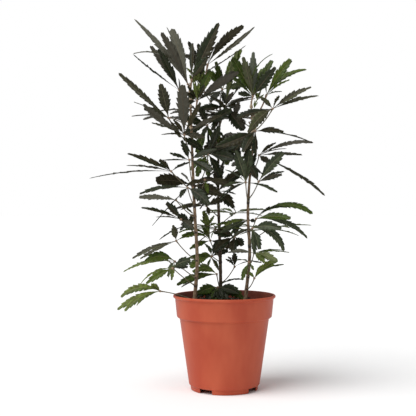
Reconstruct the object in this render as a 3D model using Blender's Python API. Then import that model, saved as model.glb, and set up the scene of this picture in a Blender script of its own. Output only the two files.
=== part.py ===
# Potted false aralia: three slender stems with finger-like leaves in a plastic nursery pot.
# Metres, +Z up, the front faces -Y. The origin is under the middle of the plant's box.
# Sizes are written in millimetres from the pot's axis and turned to metres by MM.

import math
import random

import bmesh
import bpy
from mathutils import Matrix, Vector
from mathutils.bvhtree import BVHTree

MM = 0.001
GAP = 0.3  # between touching solids
SEED = 19

# Pot: a 19 cm nursery pot with a collar, a rolled lip and four feet
POT_SIDES = 44
RIM_RADIUS = 95.0
RIM_HEIGHT = 174.0
LIP_HEIGHT = 4.6
LIP_ROUND = 1.0
LIP_UNDERCUT = 1.6
WALL = 1.5
COLLAR_TOP_RADIUS = 91.5
COLLAR_LOW_RADIUS = 88.4
COLLAR_LOW_HEIGHT = 136.5
STEP_RADIUS = 83.0
STEP_HEIGHT = 131.5
STEP_ROUND = 2.2
BASE_RADIUS = 65.6
BASE_HEIGHT = 10.0
FOOT_RADIUS = 62.0
FOOT_HEIGHT = 7.0
FOOT_TAPER = 0.7
FLOOR_HEIGHT = 10.5
DRAIN_RADIUS = 8.0
FOOT_COUNT = 4
FIRST_FOOT_TURN = 11.0  # degrees from the front towards +X
NOTCH_WIDTH = 26.0
NOTCH_HEIGHT = 8.0
NOTCH_DEPTH = 18.0
CUT_BELOW = 2.0  # the cutter starts this far under the foot
POT_SMOOTH = 35  # degrees, sharper edges than this stay sharp
STEM_SMOOTH = 50

# Potting soil
SOIL_TOP = 158.0
SOIL_EDGE = 155.5
SOIL_FLAT_RADIUS = 74.0
SOIL_CLEAR = 0.5

# Stems: bends of the centre line, radius at the foot and at the tip
STEM_SIDES = 10
STEM_RING_STEP = 32.0
FLARE = 2.2  # extra radius at soil level
FLARE_HEIGHT = 9.0
FLARE_RINGS = (0, 5, 12)  # the first rings above the foot
TAPER_POWER = 1.3  # how late a stem thins
STEMS = {
    "left": {
        "bends": ((-55, -30, 158), (-50, -31, 236), (-54, -30, 318), (-58, -29, 406),
                  (-61, -30, 500), (-63, -31, 548)),
        "foot": 3.4,
        "tip": 1.7,
    },
    "middle": {
        "bends": ((-6, 42, 158), (-7, 40, 243), (-10, 40, 327), (-11, 39, 400), (-7, 40, 540)),
        "foot": 3.2,
        "tip": 1.6,
    },
    "right": {
        "bends": ((38, -20, 158), (46, -21, 248), (43, -20, 318), (45, -20, 373),
                  (52, -19, 455), (49, -20, 522)),
        "foot": 3.2,
        "tip": 1.6,
    },
}

# Leaves
PETIOLE_RADIUS = 1.1
PETIOLE_STEPS = 4
PETIOLE_REACH = 0.30  # how far out its knee stands, to its span
PETIOLE_LIFT = 0.18  # how far up
LEAST_CROSS = 1e-6
HUB_RADIUS = 2.6
HUB_TURNS = (0.4, 0.3)  # radians about X and Z, so that no leaflet's edge runs along a hub's edge
BLADE_THICKNESS = 1.3
BLADE_RATIO = 0.185  # width to length of a leaflet
BLADE_NARROWEST = 12.0
BLADE_WIDEST = 24.0
BLADE_FOLD = 0.10  # how far the edges stand above the midrib, to the half width
SHORT_BLADE = 62.0  # leaflets under this have one section, longer ones two
SHORT_SECTIONS = ((0.58, 0.96),)  # place along the leaflet, share of its width
LONG_SECTIONS = ((0.38, 0.80), (0.72, 0.94))
NECK_WIDTH = 1.9
NECK_START = 1.0  # from the hub's centre
LEAST_BEND = 0.02  # radians
CLEAR = 0.5  # kept from other leaves
NUDGES = (0, 9, -9, 18, -18, 28, -28, 40, -40)  # degrees a leaflet may turn to keep clear
FILL_LENGTH = (44, 74)
FILL_SWING = (40, 70)  # fill leaflets point this far away from or towards the front
LEAF_COLOURS = {
    "dark": (0.030, 0.034, 0.022),
    "grey": (0.085, 0.090, 0.066),
    "blue": (0.065, 0.095, 0.070),
    "green": (0.060, 0.120, 0.028),
    "olive": (0.110, 0.160, 0.040),
}

# Each leaf: its stem, the height of its node, its hub, colour, droop in degrees, leaflets in all,
# and the leaflets that give the crown its outline. A leaflet is its angle as seen from the front
# (0 right, 90 up), its swing towards the front, its length, and how far its upper face turns to
# the front (0 edge-on, negative shows the underside), then its width and its own droop where
# they differ (a negative droop curls it upwards). Leaflets not listed fill the whorl.
LEAVES = (
    ("left", 548, (-67, -32, 560), "grey", 22, 6,
     (130, 8, 150, -50, 15, 22), (118, 14, 104, 65, 18), (110, -10, 117, 28, 15),
     (106.5, 10, 103, -80, 21), (153, 14, 113, 8, 13, 104), (124, -15, 112, 8, 9)),
    ("left", 541, (-60, -50, 565), "dark", 18, 4,
     (65.5, 8, 112, 80, 27, 4), (31, 10, 115, 8, 11, 5), (91, -14, 72, 50, 12), (52, 24, 50, 70, 18)),
    ("left", 530, (-31, -32, 596), "dark", 42, 4,
     (46, 5, 95, 52, 20, 58), (41, -10, 115, 36, 16, 20), (36, 14, 98, 16, 9, 30)),
    ("left", 520, (-83, -30, 550), "dark", 12, 4,
     (143, 8, 104, 14, 11, -12), (121.5, -14, 110, 65, 19), (118, 22, 84, 60, 18)),
    ("left", 500, (-50, -40, 529), "dark", 16, 5,
     (66, 14, 60, 70, 20), (34, 4, 91, -60, 18), (124, 20, 42, 60, 16), (20, 30, 54, 60, 18)),
    ("left", 450, (-102, -36, 498), "grey", 12, 6,
     (138, 10, 120, -45, 14, -8), (140, -8, 123, 12, 11, -2), (104, 34, 70, 80, 22),
     (153, -28, 84, 10, 9), (163, 38, 56, 80, 18), (300, 30, 50, 40, 14)),
    ("left", 432, (-73, -52, 466), "grey", 15, 6,
     (92, 14, 90, -82, 25), (144, 14, 92, 60, 17, -24), (162, 20, 68, 14, 11), (178, -16, 44, 25, 11),
     (60, 35, 74, 40, 16), (28, -8, 78, 50, 16)),
    ("left", 378, (-64, -52, 421), "dark", 20, 5,
     (161, 8, 37, 32, 11, 0), (182, 22, 50, 12, 10, 0), (112, 12, 38, 60, 14), (330, 40, 60, 60, 18),
     (20, 20, 56, 60, 16)),
    ("left", 366, (-97, -42, 401), "dark", 14, 5,
     (158, 6, 85, 52, 14), (172, -14, 86, 26, 12), (185.4, 10, 147, 18, 12, 17), (136, 10, 30, 50, 12),
     (30, -50, 60, 30)),
    ("left", 360, (-62, 8, 378), "dark", 24, 4,
     (172, 38, 78, 80, 24), (340, 20, 66, 70, 22), (12, 30, 56, 70)),
    ("left", 340, (-67, -56, 371), "dark", 38, 4,
     (188, 8, 87, 36, 12, 30), (227, -8, 96, 8, 10, 8), (320, 30, 58, 84, 24), (236, 42, 30, 50, 12)),
    ("left", 318, (-89, -20, 349), "grey", 14, 3,
     (176, 6, 68, -48, 15), (322, 10, 40, 20, 7)),
    ("left", 290, (-79, -46, 314), "dark", 20, 4,
     (134, 14, 46, 75, 17), (163, 5, 79, 26, 12), (175, -18, 48, 5, 7), (322, 30, 34, 80, 19)),
    ("left", 240, (-88, -36, 275), "grey", 36, 4,
     (202, 10, 86, 34, 13, 22), (207, -14, 78, 28, 11, 12), (97, 30, 34, 70, 14, 20),
     (10, -34, 64, 50, 12, 40)),
    ("left", 208, (-91, -26, 237), "green", 40, 4,
     (171, 22, 58, 68, 21, 112), (192, -6, 98, 28, 12, 50), (261, 20, 36, 65, 9, 20)),
    ("left", 194, (-94, -45, 226), "green", 38, 5,
     (210, 14, 56, 62, 16, 22), (206, -24, 74, 28, 10, 34), (32, 30, 42, 75, 17, 40),
     (4, 10, 28, 60, 12)),
    ("left", 166, (-118, -20, 182), "olive", 48, 4,
     (187, 10, 71, 50, 16, 80), (202, 0, 88, 70, 17, 46), (209, 30, 82, 55, 15), (216, -22, 62, 40, 13)),
    ("left", 372, (-30, -16, 434), "dark", 18, 7,
     (16, 18, 62, 84, 26), (346, 34, 58, 80, 22), (300, 10, 46, 60, 20), (150, 30, 60, 50, 20),
     (66, 30, 60, 50, 20), (240, 20, 46, 60, 14)),
    ("left", 354, (-36, -34, 386), "dark", 24, 4,
     (346, 6, 56, 72, 16), (283, 20, 27, 60, 9, 20), (200, 10, 40, 60)),
    ("right", 522, (52, -22, 539), "green", 14, 8,
     (105, 10, 74, 70, 16), (117, -6, 82, 75, 20), (89, -8, 85, -80, 18), (51, 20, 68, 75, 21),
     (62, -10, 79, 65, 14, 14), (67, -22, 68, 70, 18, 14), (65, 4, 85, 4, 8, 200), (136, -20, 74, 50)),
    ("right", 500, (77, -15, 542), "green", 28, 5,
     (55, 12, 79, 60, 16, 24), (33, -5, 90, 50, 12, 64), (31, 30, 54, 36, 11), (16, -18, 32, 15, 8)),
    ("right", 474, (88, -26, 516), "grey", 24, 5,
     (30, 10, 80, 60, 17, 24), (17, -8, 90, 42, 13), (63, 20, 27, 25, 9), (228, 34, 82, 80, 19),
     (190, -6, 67, 50, 14, 20)),
    ("right", 446, (55, -50, 473), "dark", 34, 6,
     (203, 14, 80, 84, 20), (3, -6, 50, 50), (348, 12, 106, 8, 8, 24), (240, 40, 62, 60, 18),
     (222, -10, 48, 60, 18)),
    ("right", 402, (63, -24, 431), "grey", 22, 6,
     (13, 6, 101, 24, 12, 40), (36, 22, 40, 40, 9), (15, -24, 59, 5, 7), (1, -12, 83, 25, 12, 15),
     (316, 45, 30, 65, 13), (329, -6, 144, 22, 13, 22)),
    ("right", 352, (61, -44, 382), "blue", 24, 4,
     (52, 12, 70, 84, 21), (22, -20, 55, 30, 11), (13, 16, 45, 60, 13, 6)),
    ("right", 346, (38, -40, 381), "blue", 26, 7,
     (109, 14, 63, 84, 21), (83, -4, 60, 80, 20), (342, 14, 61, 40, 8), (207, -8, 50, 10),
     (192, 20, 44, 30), (150, 30, 52, 70, 18), (214, -24, 60, 20)),
    ("right", 292, (57, -32, 315), "green", 52, 4,
     (5, 6, 103, 34, 14, 88), (0, 20, 65, 52, 17, 32), (339, -8, 103, 38, 15, 58),
     (20, 10, 60, 8, 7, 80)),
    ("right", 286, (46, 4, 312), "green", 34, 4,
     (188, -10, 63, 30, 11, 10), (190, 14, 45, 42, 10, 44), (201, 30, 67, 60, 15, 16)),
    ("right", 266, (50, -42, 298), "blue", 40, 5,
     (359, 30, 58, 80, 17), (325, 10, 69, 70, 14, 108), (290, 24, 43, 80, 17), (273, 30, 53, 60, 12),
     (205, 6, 52, 40, 9)),
    ("right", 230, (53, -38, 253), "olive", 24, 5,
     (1, 6, 64, 15, 8), (4, -18, 59, 12, 7), (343, 36, 50, -60, 14), (318, 40, 32, 70, 12),
     (180, -14, 48, -45, 10)),
    ("right", 208, (44, -35, 236), "green", 24, 3,
     (248, 8, 35, 60, 10), (330, 30, 36, 70, 12)),
    ("right", 186, (54, -34, 207), "olive", 30, 4,
     (39, 12, 55, 55, 12, 45), (24, -10, 61, 12, 7, 50), (58, 34, 36, 60, 8), (135, 20, 16, 60, 7)),
    ("middle", 540, (-3, 38, 560), "green", 20, 5,
     (102, 14, 53, 60, 14), (129, 10, 47, 60, 16), (64, 14, 84, 60, 18), (6, 24, 62, 60, 20)),
    ("middle", 516, (-36, 12, 550), "dark", 20, 5,
     (106, 8, 100, 60, 12, 20), (119, 10, 94, 60, 20), (29, 16, 86, -80, 22), (112, -26, 60, 50),
     (318, -20, 62, 40, 18)),
    ("middle", 492, (2, 12, 524), "dark", 16, 9,
     (78, 4, 110, 60, 16), (26, 10, 55, 32), (20, -16, 62, 8, 9), (311, 22, 62, 80, 20),
     (52, -6, 64, 10, 9), (190, 14, 58, 60, 18), (242, 20, 56, 60, 18)),
    ("middle", 455, (-32, 4, 489), "dark", 18, 10,
     (321, 10, 48, 25, 8, 40), (289, 30, 38, 60, 11), (168, 16, 54, 60, 20), (28, 30, 60, 60, 20),
     (205, 30, 54, 50, 20), (250, -12, 56, 65, 16), (116, 20, 42, 60, 16)),
    ("middle", 430, (24, 74, 470), "dark", 22, 7,
     (200, 20, 70, 60, 22), (250, 20, 60, 60, 18)),
    ("middle", 400, (-38, 70, 436), "green", 24, 7,
     (20, 10, 70, 60, 22), (252, 10, 44, 60, 12), (228, 14, 40, 60, 12), (282, -10, 46, 60, 12)),
    ("middle", 380, (34, 30, 422), "dark", 24, 7,
     (160, 20, 62, 70, 22), (40, 20, 60, 40, 20), (330, -20, 50, 40, 18), (120, 20, 56, 60, 22)),
    ("middle", 338, (-12, 14, 366), "dark", 24, 7,
     (313, 18, 46, 78, 20), (225, -6, 48, 10, 9), (350, 22, 36, 10, 8), (200, 42, 54, 50),
     (40, -16, 60, 60, 20)),
    ("middle", 318, (-33, 10, 338), "dark", 26, 4,
     (184, 6, 56, 36), (188, -26, 56, 8), (292, 14, 46, 70, 16)),
    ("middle", 292, (-62, 8, 304), "dark", 30, 3,
     (206, 6, 66, 16, 8), (207, -24, 26, 30, 9)),
    ("middle", 254, (20, 20, 280), "dark", 34, 6,
     (318, 30, 34, 80, 22), (10, -10, 36, 50), (262, 30, 34, 75, 20), (215, 20, 48, 60, 18),
     (168, 14, 42, 70, 18), (80, 16, 28, 60, 14)),
    ("middle", 242, (-26, 56, 272), "green", 26, 6,
     (105, 10, 60, -50, 13, 20), (166, 10, 63, 25, 9, 95), (170, 24, 60, 40, 9, 70),
     (340, 10, 40, 60, 18), (120, 14, 36, 60, 10)),
    ("middle", 232, (-23, 22, 244), "green", 36, 5,
     (174, 12, 21, 60, 9), (200, 50, 69, 75, 18, 50), (60, 16, 36, 60, 16), (186, 24, 52, 40, 9)),
    ("middle", 214, (-24, 66, 240), "green", 34, 2,
     (300, 20, 40, 60, 12), (200, 10, 46, 50, 12)),
    ("middle", 192, (20, 24, 224), "dark", 20, 4,
     (90, 16, 27, 70, 11, 20), (8, 2, 52, 12, 7, 52), (140, 10, 23, 30, 7, 50)),
    ("middle", 178, (-14, 10, 211), "green", 40, 4,
     (174, 16, 47, 60, 13, 77), (194, 20, 81, 60, 14, 35), (201, -10, 73, 25, 8, 30)),
    ("middle", 168, (-12, 5, 187), "green", 14, 6,
     (336, 10, 52, 80, 20, 50), (205, 10, 45, 80, 19, 50), (150, 20, 30, 60, 14), (285, 30, 27, 80, 17),
     (15, -10, 52, 15, 7, 60), (232, 20, 36, 80, 18, 50)),
)

# Leaves at the back of the crown, by rule: lowest node, highest node and how many, for each stem
BACK_LEAVES = {"left": (270, 480, 2), "middle": (300, 500, 2), "right": (270, 480, 2)}
BACK_AZIMUTH = 92.0  # degrees, 90 is straight back
BACK_TURN = 34.0  # each next leaf turns this far to the other side
BACK_PETIOLE = 60.0
BACK_RISE = 24.0
BACK_LENGTH = 84.0
BACK_COUNT = 7
BACK_DROOP = 20.0
BACK_LIFT = (-9, 7)  # degrees its leaflets rise
WHORL_HALF_FAN = 150.0  # degrees either side of the petiole's line


def colour_material(name, colour, roughness):
    material = bpy.data.materials.new(name)
    material.use_nodes = True
    shader = material.node_tree.nodes["Principled BSDF"]
    shader.inputs["Base Color"].default_value = (*colour, 1.0)
    shader.inputs["Roughness"].default_value = roughness
    material.diffuse_color = (*colour, 1.0)
    return material


def make_object(name, verts, faces, material=None):
    """A mesh object from points in millimetres, its faces turned outwards."""
    mesh = bpy.data.meshes.new(name)
    mesh.from_pydata([Vector(v) * MM for v in verts], [], faces)
    bm = bmesh.new()
    bm.from_mesh(mesh)
    bmesh.ops.recalc_face_normals(bm, faces=bm.faces)
    bm.to_mesh(mesh)
    bm.free()
    if material:
        mesh.materials.append(material)
    obj = bpy.data.objects.new(name, mesh)
    bpy.context.scene.collection.objects.link(obj)
    return obj


def solid_tree(verts, faces):
    return BVHTree.FromPolygons([Vector(v) for v in verts], faces)


def turned(name, profile, sides, material):
    """A closed profile of (radius, height) turned about the Z axis, points at radius 0 made one."""
    verts = []
    rings = []
    for radius, height in profile:
        if radius == 0:
            rings.append([len(verts)] * sides)
            verts.append((0, 0, height))
            continue
        rings.append(list(range(len(verts), len(verts) + sides)))
        for k in range(sides):
            turn = 2 * math.pi * k / sides
            verts.append((radius * math.cos(turn), radius * math.sin(turn), height))
    faces = []
    closed = profile[0][0] != 0
    for i in range(len(rings) if closed else len(rings) - 1):
        low, high = rings[i], rings[(i + 1) % len(rings)]
        for k in range(sides):
            corners = (low[k], low[(k + 1) % sides], high[(k + 1) % sides], high[k])
            faces.append(tuple(dict.fromkeys(corners)))
    obj = make_object(name, verts, faces, material)
    obj.data.shade_smooth()
    obj.data.set_sharp_from_angle(angle=math.radians(POT_SMOOTH))
    return obj, verts, faces


def apply_modifiers(obj):
    graph = bpy.context.evaluated_depsgraph_get()
    mesh = bpy.data.meshes.new_from_object(obj.evaluated_get(graph))
    obj.modifiers.clear()
    obj.data = mesh


def pot_wall():
    """The inner wall, from under the lip down to the floor."""
    return [
        (COLLAR_TOP_RADIUS - WALL, RIM_HEIGHT - LIP_HEIGHT - LIP_UNDERCUT),
        (COLLAR_LOW_RADIUS - WALL, COLLAR_LOW_HEIGHT - WALL),
        (STEP_RADIUS - WALL, STEP_HEIGHT - WALL),
        (BASE_RADIUS - WALL, FLOOR_HEIGHT),
    ]


def pot_profile():
    """Outer side from the foot to the lip, then the inner side down to the drain hole."""
    lip = RIM_HEIGHT - LIP_HEIGHT
    outer = [
        (FOOT_RADIUS, 0), (FOOT_RADIUS + FOOT_TAPER, FOOT_HEIGHT), (BASE_RADIUS, BASE_HEIGHT),
        (STEP_RADIUS, STEP_HEIGHT), (COLLAR_LOW_RADIUS - STEP_ROUND, STEP_HEIGHT + LIP_ROUND),
        (COLLAR_LOW_RADIUS, COLLAR_LOW_HEIGHT), (COLLAR_TOP_RADIUS, lip - LIP_UNDERCUT),
        (RIM_RADIUS - LIP_ROUND, lip - LIP_ROUND / 2), (RIM_RADIUS, lip + LIP_ROUND),
        (RIM_RADIUS, RIM_HEIGHT - LIP_ROUND), (RIM_RADIUS - LIP_ROUND, RIM_HEIGHT),
        (COLLAR_TOP_RADIUS - WALL + LIP_ROUND, RIM_HEIGHT),
    ]
    underside = [
        (DRAIN_RADIUS, FLOOR_HEIGHT), (DRAIN_RADIUS, FLOOR_HEIGHT - WALL),
        (FOOT_RADIUS - LIP_ROUND, FLOOR_HEIGHT - WALL), (FOOT_RADIUS - WALL, 0),
    ]
    return outer + pot_wall() + underside


def inner_radius(height):
    """The pot's inner wall at a height."""
    wall = pot_wall()
    for (r0, z0), (r1, z1) in zip(wall, wall[1:]):
        if z1 <= height <= z0:
            return r1 + (r0 - r1) * (height - z1) / (z0 - z1)
    return wall[-1][0]


def build_pot():
    plastic = colour_material("pot_terracotta_plastic", (0.533, 0.105, 0.058), 0.45)
    pot, _, _ = turned("pot", pot_profile(), POT_SIDES, plastic)
    deep, across = NOTCH_DEPTH / 2, NOTCH_WIDTH / 2
    corners = [(x, y, z) for z in (-CUT_BELOW, NOTCH_HEIGHT) for x, y in (
        (-deep, -across), (deep, -across), (deep, across), (-deep, across))]
    faces = [(0, 1, 2, 3), (4, 5, 6, 7), (0, 1, 5, 4), (1, 2, 6, 5), (2, 3, 7, 6), (3, 0, 4, 7)]
    for k in range(FOOT_COUNT):
        turn = math.radians(FIRST_FOOT_TURN - 90 + 360 / FOOT_COUNT * (k + 0.5))
        place = Matrix.Rotation(turn, 3, "Z")
        at = place @ Vector((FOOT_RADIUS, 0, 0))
        cutter = make_object(f"notch_{k}", [place @ Vector(c) + at for c in corners], faces)
        cut = pot.modifiers.new(f"notch_{k}", "BOOLEAN")
        cut.operation = "DIFFERENCE"
        cut.object = cutter
    apply_modifiers(pot)
    for obj in [o for o in bpy.data.objects if o.name.startswith("notch_")]:
        bpy.data.objects.remove(obj)
    return pot


def build_soil():
    """Potting soil that fills the pot with a thin clearance, nearly level on top."""
    low = FLOOR_HEIGHT + GAP
    knees = (low, STEP_HEIGHT - WALL, COLLAR_LOW_HEIGHT - WALL, SOIL_EDGE)
    side = [(inner_radius(z) - SOIL_CLEAR, z) for z in knees]
    profile = [(0, low)] + side + [(SOIL_FLAT_RADIUS, SOIL_TOP), (0, SOIL_TOP)]
    peat = colour_material("dark_peat", (0.022, 0.014, 0.009), 0.95)
    return turned("potting_soil", profile, POT_SIDES, peat)[0]


def spline_at(points, height):
    """A smooth centre line through the bends, read at a height."""
    last = len(points) - 1
    i = max(k for k in range(last) if points[k][2] <= height or k == 0)
    before, start = points[max(i - 1, 0)], points[i]
    end, after = points[i + 1], points[min(i + 2, last)]
    t = (height - start[2]) / (end[2] - start[2])
    place = []
    for axis in (0, 1):
        a, b, c, d = before[axis], start[axis], end[axis], after[axis]
        place.append(0.5 * (2 * b + (c - a) * t + (2 * a - 5 * b + 4 * c - d) * t * t
                            + (3 * b - a - 3 * c + d) * t ** 3))
    return Vector((place[0], place[1], height))


def stem_radius(stem, height):
    low, high = stem["bends"][0][2], stem["bends"][-1][2]
    up = (height - low) / (high - low)
    flare = FLARE * math.exp(-(height - low) / FLARE_HEIGHT)
    return stem["foot"] + (stem["tip"] - stem["foot"]) * up ** TAPER_POWER + flare


def ring(centre, across, along, sides, radius):
    turns = [2 * math.pi * k / sides for k in range(sides)]
    return [centre + radius * (math.cos(t) * across + math.sin(t) * along) for t in turns]


def tube(rings):
    """Points and faces of a closed tube through rings of equal count."""
    sides = len(rings[0])
    verts = [v for r in rings for v in r]
    faces = [tuple(range(sides))]
    for i in range(len(rings) - 1):
        for k in range(sides):
            a, b = i * sides + k, i * sides + (k + 1) % sides
            faces.append((a, b, b + sides, a + sides))
    faces.append(tuple(range(len(verts) - sides, len(verts))))
    return verts, faces


def stem_rings(stem):
    """Centre and radius of each ring, closer together where the foot flares."""
    low, high = stem["bends"][0][2] + GAP, stem["bends"][-1][2]
    heights = [low + rise for rise in FLARE_RINGS]
    start = heights[-1]
    steps = round((high - start) / STEM_RING_STEP)
    heights += [start + (high - start) * (k + 1) / steps for k in range(steps)]
    return [(spline_at(stem["bends"], z), stem_radius(stem, z)) for z in heights]


def stem_at(stem, height):
    """Centre and radius of the stem's faces, which run straight between its rings."""
    rings = stem_rings(stem)
    for (low, low_radius), (high, high_radius) in zip(rings, rings[1:]):
        if height <= high.z:
            t = (height - low.z) / (high.z - low.z)
            return low.lerp(high, t), low_radius + (high_radius - low_radius) * t
    return rings[-1]


def build_stem(name, stem, bark):
    x, y = Vector((1, 0, 0)), Vector((0, 1, 0))
    verts, faces = tube([ring(at, x, y, STEM_SIDES, radius) for at, radius in stem_rings(stem)])
    obj = make_object(f"stem_{name}", verts, faces, bark)
    obj.data.shade_smooth()
    obj.data.set_sharp_from_angle(angle=math.radians(STEM_SMOOTH))
    return solid_tree(verts, faces)


def petiole(stem, node, hub, swell=0.0):
    """A three-sided stalk from just off the stem to the hub. From the tip it rises straight up."""
    centre, radius = stem_at(stem, node)
    hub = Vector(hub)
    if node >= stem["bends"][-1][2]:
        lead = Vector((0, 0, 1))
        start = centre + lead * GAP
    else:
        lead = Vector((hub.x - centre.x, hub.y - centre.y, 0)).normalized()
        start = centre + lead * (radius + GAP)
    span = (hub - start).length
    knee = start + lead * span * PETIOLE_REACH + Vector((0, 0, span * PETIOLE_LIFT))
    rings = []
    for k in range(PETIOLE_STEPS + 1):
        t = k / PETIOLE_STEPS
        centre = start * (1 - t) ** 2 + knee * 2 * t * (1 - t) + hub * t * t
        run = lead if k == 0 else (knee - start) * (1 - t) + (hub - knee) * t
        side = run.cross(Vector((0, 0, 1)))
        if side.length < LEAST_CROSS:
            side = Vector((0, 1, 0))
        side.normalize()
        rings.append(ring(centre, side, run.cross(side).normalized(), 3, PETIOLE_RADIUS + swell))
    return tube(rings)


def hub_bead(hub, swell=0.0):
    """An eight-sided bead."""
    reach = HUB_RADIUS + swell
    turn = Matrix.Rotation(HUB_TURNS[0], 3, "X") @ Matrix.Rotation(HUB_TURNS[1], 3, "Z")
    corners = [turn @ (Vector(c) * reach) for c in (
        (1, 0, 0), (0, 1, 0), (-1, 0, 0), (0, -1, 0), (0, 0, 1), (0, 0, -1))]
    faces = [(k, (k + 1) % 4, 4) for k in range(4)] + [((k + 1) % 4, k, 5) for k in range(4)]
    return [c + Vector(hub) for c in corners], faces


def view_direction(angle, swing):
    a, s = math.radians(angle), math.radians(swing)
    return Vector((math.cos(a) * math.cos(s), -math.sin(s), math.sin(a) * math.cos(s)))


def face_normal(direction, facing):
    """The upper face's normal: level blades face up, and facing turns it to the front."""
    front = Vector((0, -1, 0))
    to_front = (front - direction * front.dot(direction)).normalized()
    edge_on = direction.cross(to_front)
    if edge_on.z < 0:
        edge_on.negate()
    f = math.radians(facing)
    return edge_on * math.cos(f) + to_front * math.sin(f)


def blade(hub, direction, length, normal, width, droop, swell=0.0):
    """One leaflet: a thin diamond-section blade on an arc whose chord runs from hub to tip."""
    level = direction.cross(Vector((0, 0, 1)))
    bend = math.radians(droop) * level.length
    if abs(bend) < LEAST_BEND:
        bend = LEAST_BEND
    axis = level.normalized()
    lift = axis.cross(direction)
    radius = length / (2 * math.sin(bend / 2))
    thick = BLADE_THICKNESS + swell
    verts = []
    sections = SHORT_SECTIONS if length < SHORT_BLADE else LONG_SECTIONS
    stations = [(NECK_START / length, NECK_WIDTH / width)] + list(sections)
    for s, share in stations:
        phi = bend * (s - 0.5)
        centre = Vector(hub) + direction * radius * (math.sin(phi) + math.sin(bend / 2))
        centre = centre + lift * radius * (math.cos(phi) - math.cos(bend / 2))
        turn = Matrix.Rotation(-phi, 3, axis)
        up = turn @ normal
        side = (turn @ direction).cross(up).normalized()
        half = width * share / 2 + swell
        fold = up * half * BLADE_FOLD
        verts += [centre - side * half + fold, centre + up * thick / 2,
                  centre + side * half + fold, centre - up * thick / 2]
    verts.append(Vector(hub) + direction * (length + swell))
    faces = [(0, 1, 2), (0, 2, 3)]
    for i in range(len(stations) - 1):
        for k in range(4):
            a, b = 4 * i + k, 4 * i + (k + 1) % 4
            faces += [(a, b, b + 4), (a, b + 4, a + 4)]
    tip = len(verts) - 1
    last = 4 * (len(stations) - 1)
    faces += [(last + k, last + (k + 1) % 4, tip) for k in range(4)]
    return verts, faces


def nudged(direction, degrees):
    """The direction turned towards the front, as little seen from there as can be."""
    axis = direction.cross(Vector((0, -1, 0)))
    if axis.length < 0.2:
        axis = Vector((1, 0, 0))
    return Matrix.Rotation(math.radians(degrees), 3, axis.normalized()) @ direction


def fill_whorl(listed, count, dice):
    """Leaflets that the front hardly shows: they point away from it and towards it by turns."""
    middle = listed[0][0] if listed else 90
    rows = []
    for k in range(count - len(listed)):
        away = -1 if k % 2 == 0 else 1
        swing = away * dice.uniform(*FILL_SWING)
        angle = middle + dice.uniform(-75, 75) + (180 if k % 3 == 2 else 0)
        length = dice.uniform(*FILL_LENGTH)
        rows.append((angle, swing, length, dice.uniform(-50, 60)))
    return rows


def usual_width(length):
    return min(max(length * BLADE_RATIO, BLADE_NARROWEST), BLADE_WIDEST)


def leaf_plan(index, row):
    """Stem, node, hub, colour and the leaflets as direction, length, normal, width and droop."""
    stem, node, hub, colour, droop, count = row[:6]
    dice = random.Random(SEED * 1000 + index)
    listed = row[6:]
    leaflets = []
    for angle, swing, length, facing, *own in list(listed) + fill_whorl(listed, count, dice):
        direction = view_direction(angle, swing)
        width = own[0] if own else usual_width(length)
        bend = own[1] if len(own) > 1 else droop
        leaflets.append((direction, length, face_normal(direction, facing), width, bend))
    return stem, node, hub, colour, leaflets


def back_plan(stem_name, k):
    """A leaf at the back: a whorl fanned about its petiole's line and tipped a little down."""
    low, high, count = BACK_LEAVES[stem_name]
    dice = random.Random(SEED * 7 + k + 10 * len(stem_name))
    node = low + (high - low) * k / (count - 1)
    side = 1 if k % 2 else -1
    azimuth = math.radians(BACK_AZIMUTH + side * BACK_TURN + dice.uniform(-9, 9))
    out = Vector((math.cos(azimuth), math.sin(azimuth), 0))
    start = spline_at(STEMS[stem_name]["bends"], node)
    hub = start + out * BACK_PETIOLE + Vector((0, 0, BACK_RISE))
    across = out.cross(Vector((0, 0, 1)))
    leaflets = []
    for i in range(BACK_COUNT):
        fan = WHORL_HALF_FAN * (2 * i / (BACK_COUNT - 1) - 1) + dice.uniform(-8, 8)
        f = math.radians(fan)
        rise = math.radians(dice.uniform(*BACK_LIFT))
        flat = out * math.cos(f) + across * math.sin(f)
        direction = flat * math.cos(rise) + Vector((0, 0, math.sin(rise)))
        normal = Vector((0, 0, 1)) - direction * direction.z
        length = BACK_LENGTH * (1 - 0.36 * abs(fan) / 180) * dice.uniform(0.9, 1.1)
        leaflets.append((direction, length, normal.normalized(), usual_width(length), BACK_DROOP))
    colour = ("dark", "green")[k % 2]
    return stem_name, node, tuple(hub), colour, leaflets


def clear_of(verts, faces, others):
    tree = solid_tree(verts, faces)
    return not any(tree.overlap(other) for other in others)


def fuse(name, parts, material):
    """One Boolean union on a collection joins the stalk, hub and leaflets to one body."""
    group = bpy.data.collections.new(name)
    bpy.context.scene.collection.children.link(group)
    for k, (verts, faces) in enumerate(parts[1:]):
        piece = make_object(f"{name}_piece_{k}", verts, faces)
        bpy.context.scene.collection.objects.unlink(piece)
        group.objects.link(piece)
    leaf = make_object(name, *parts[0], material)
    join = leaf.modifiers.new("join", "BOOLEAN")
    join.operation = "UNION"
    join.operand_type = "COLLECTION"
    join.collection = group
    apply_modifiers(leaf)
    leaf.data.materials.clear()
    leaf.data.materials.append(material)
    for piece in list(group.objects):
        bpy.data.objects.remove(piece)
    bpy.data.collections.remove(group)
    return leaf


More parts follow.
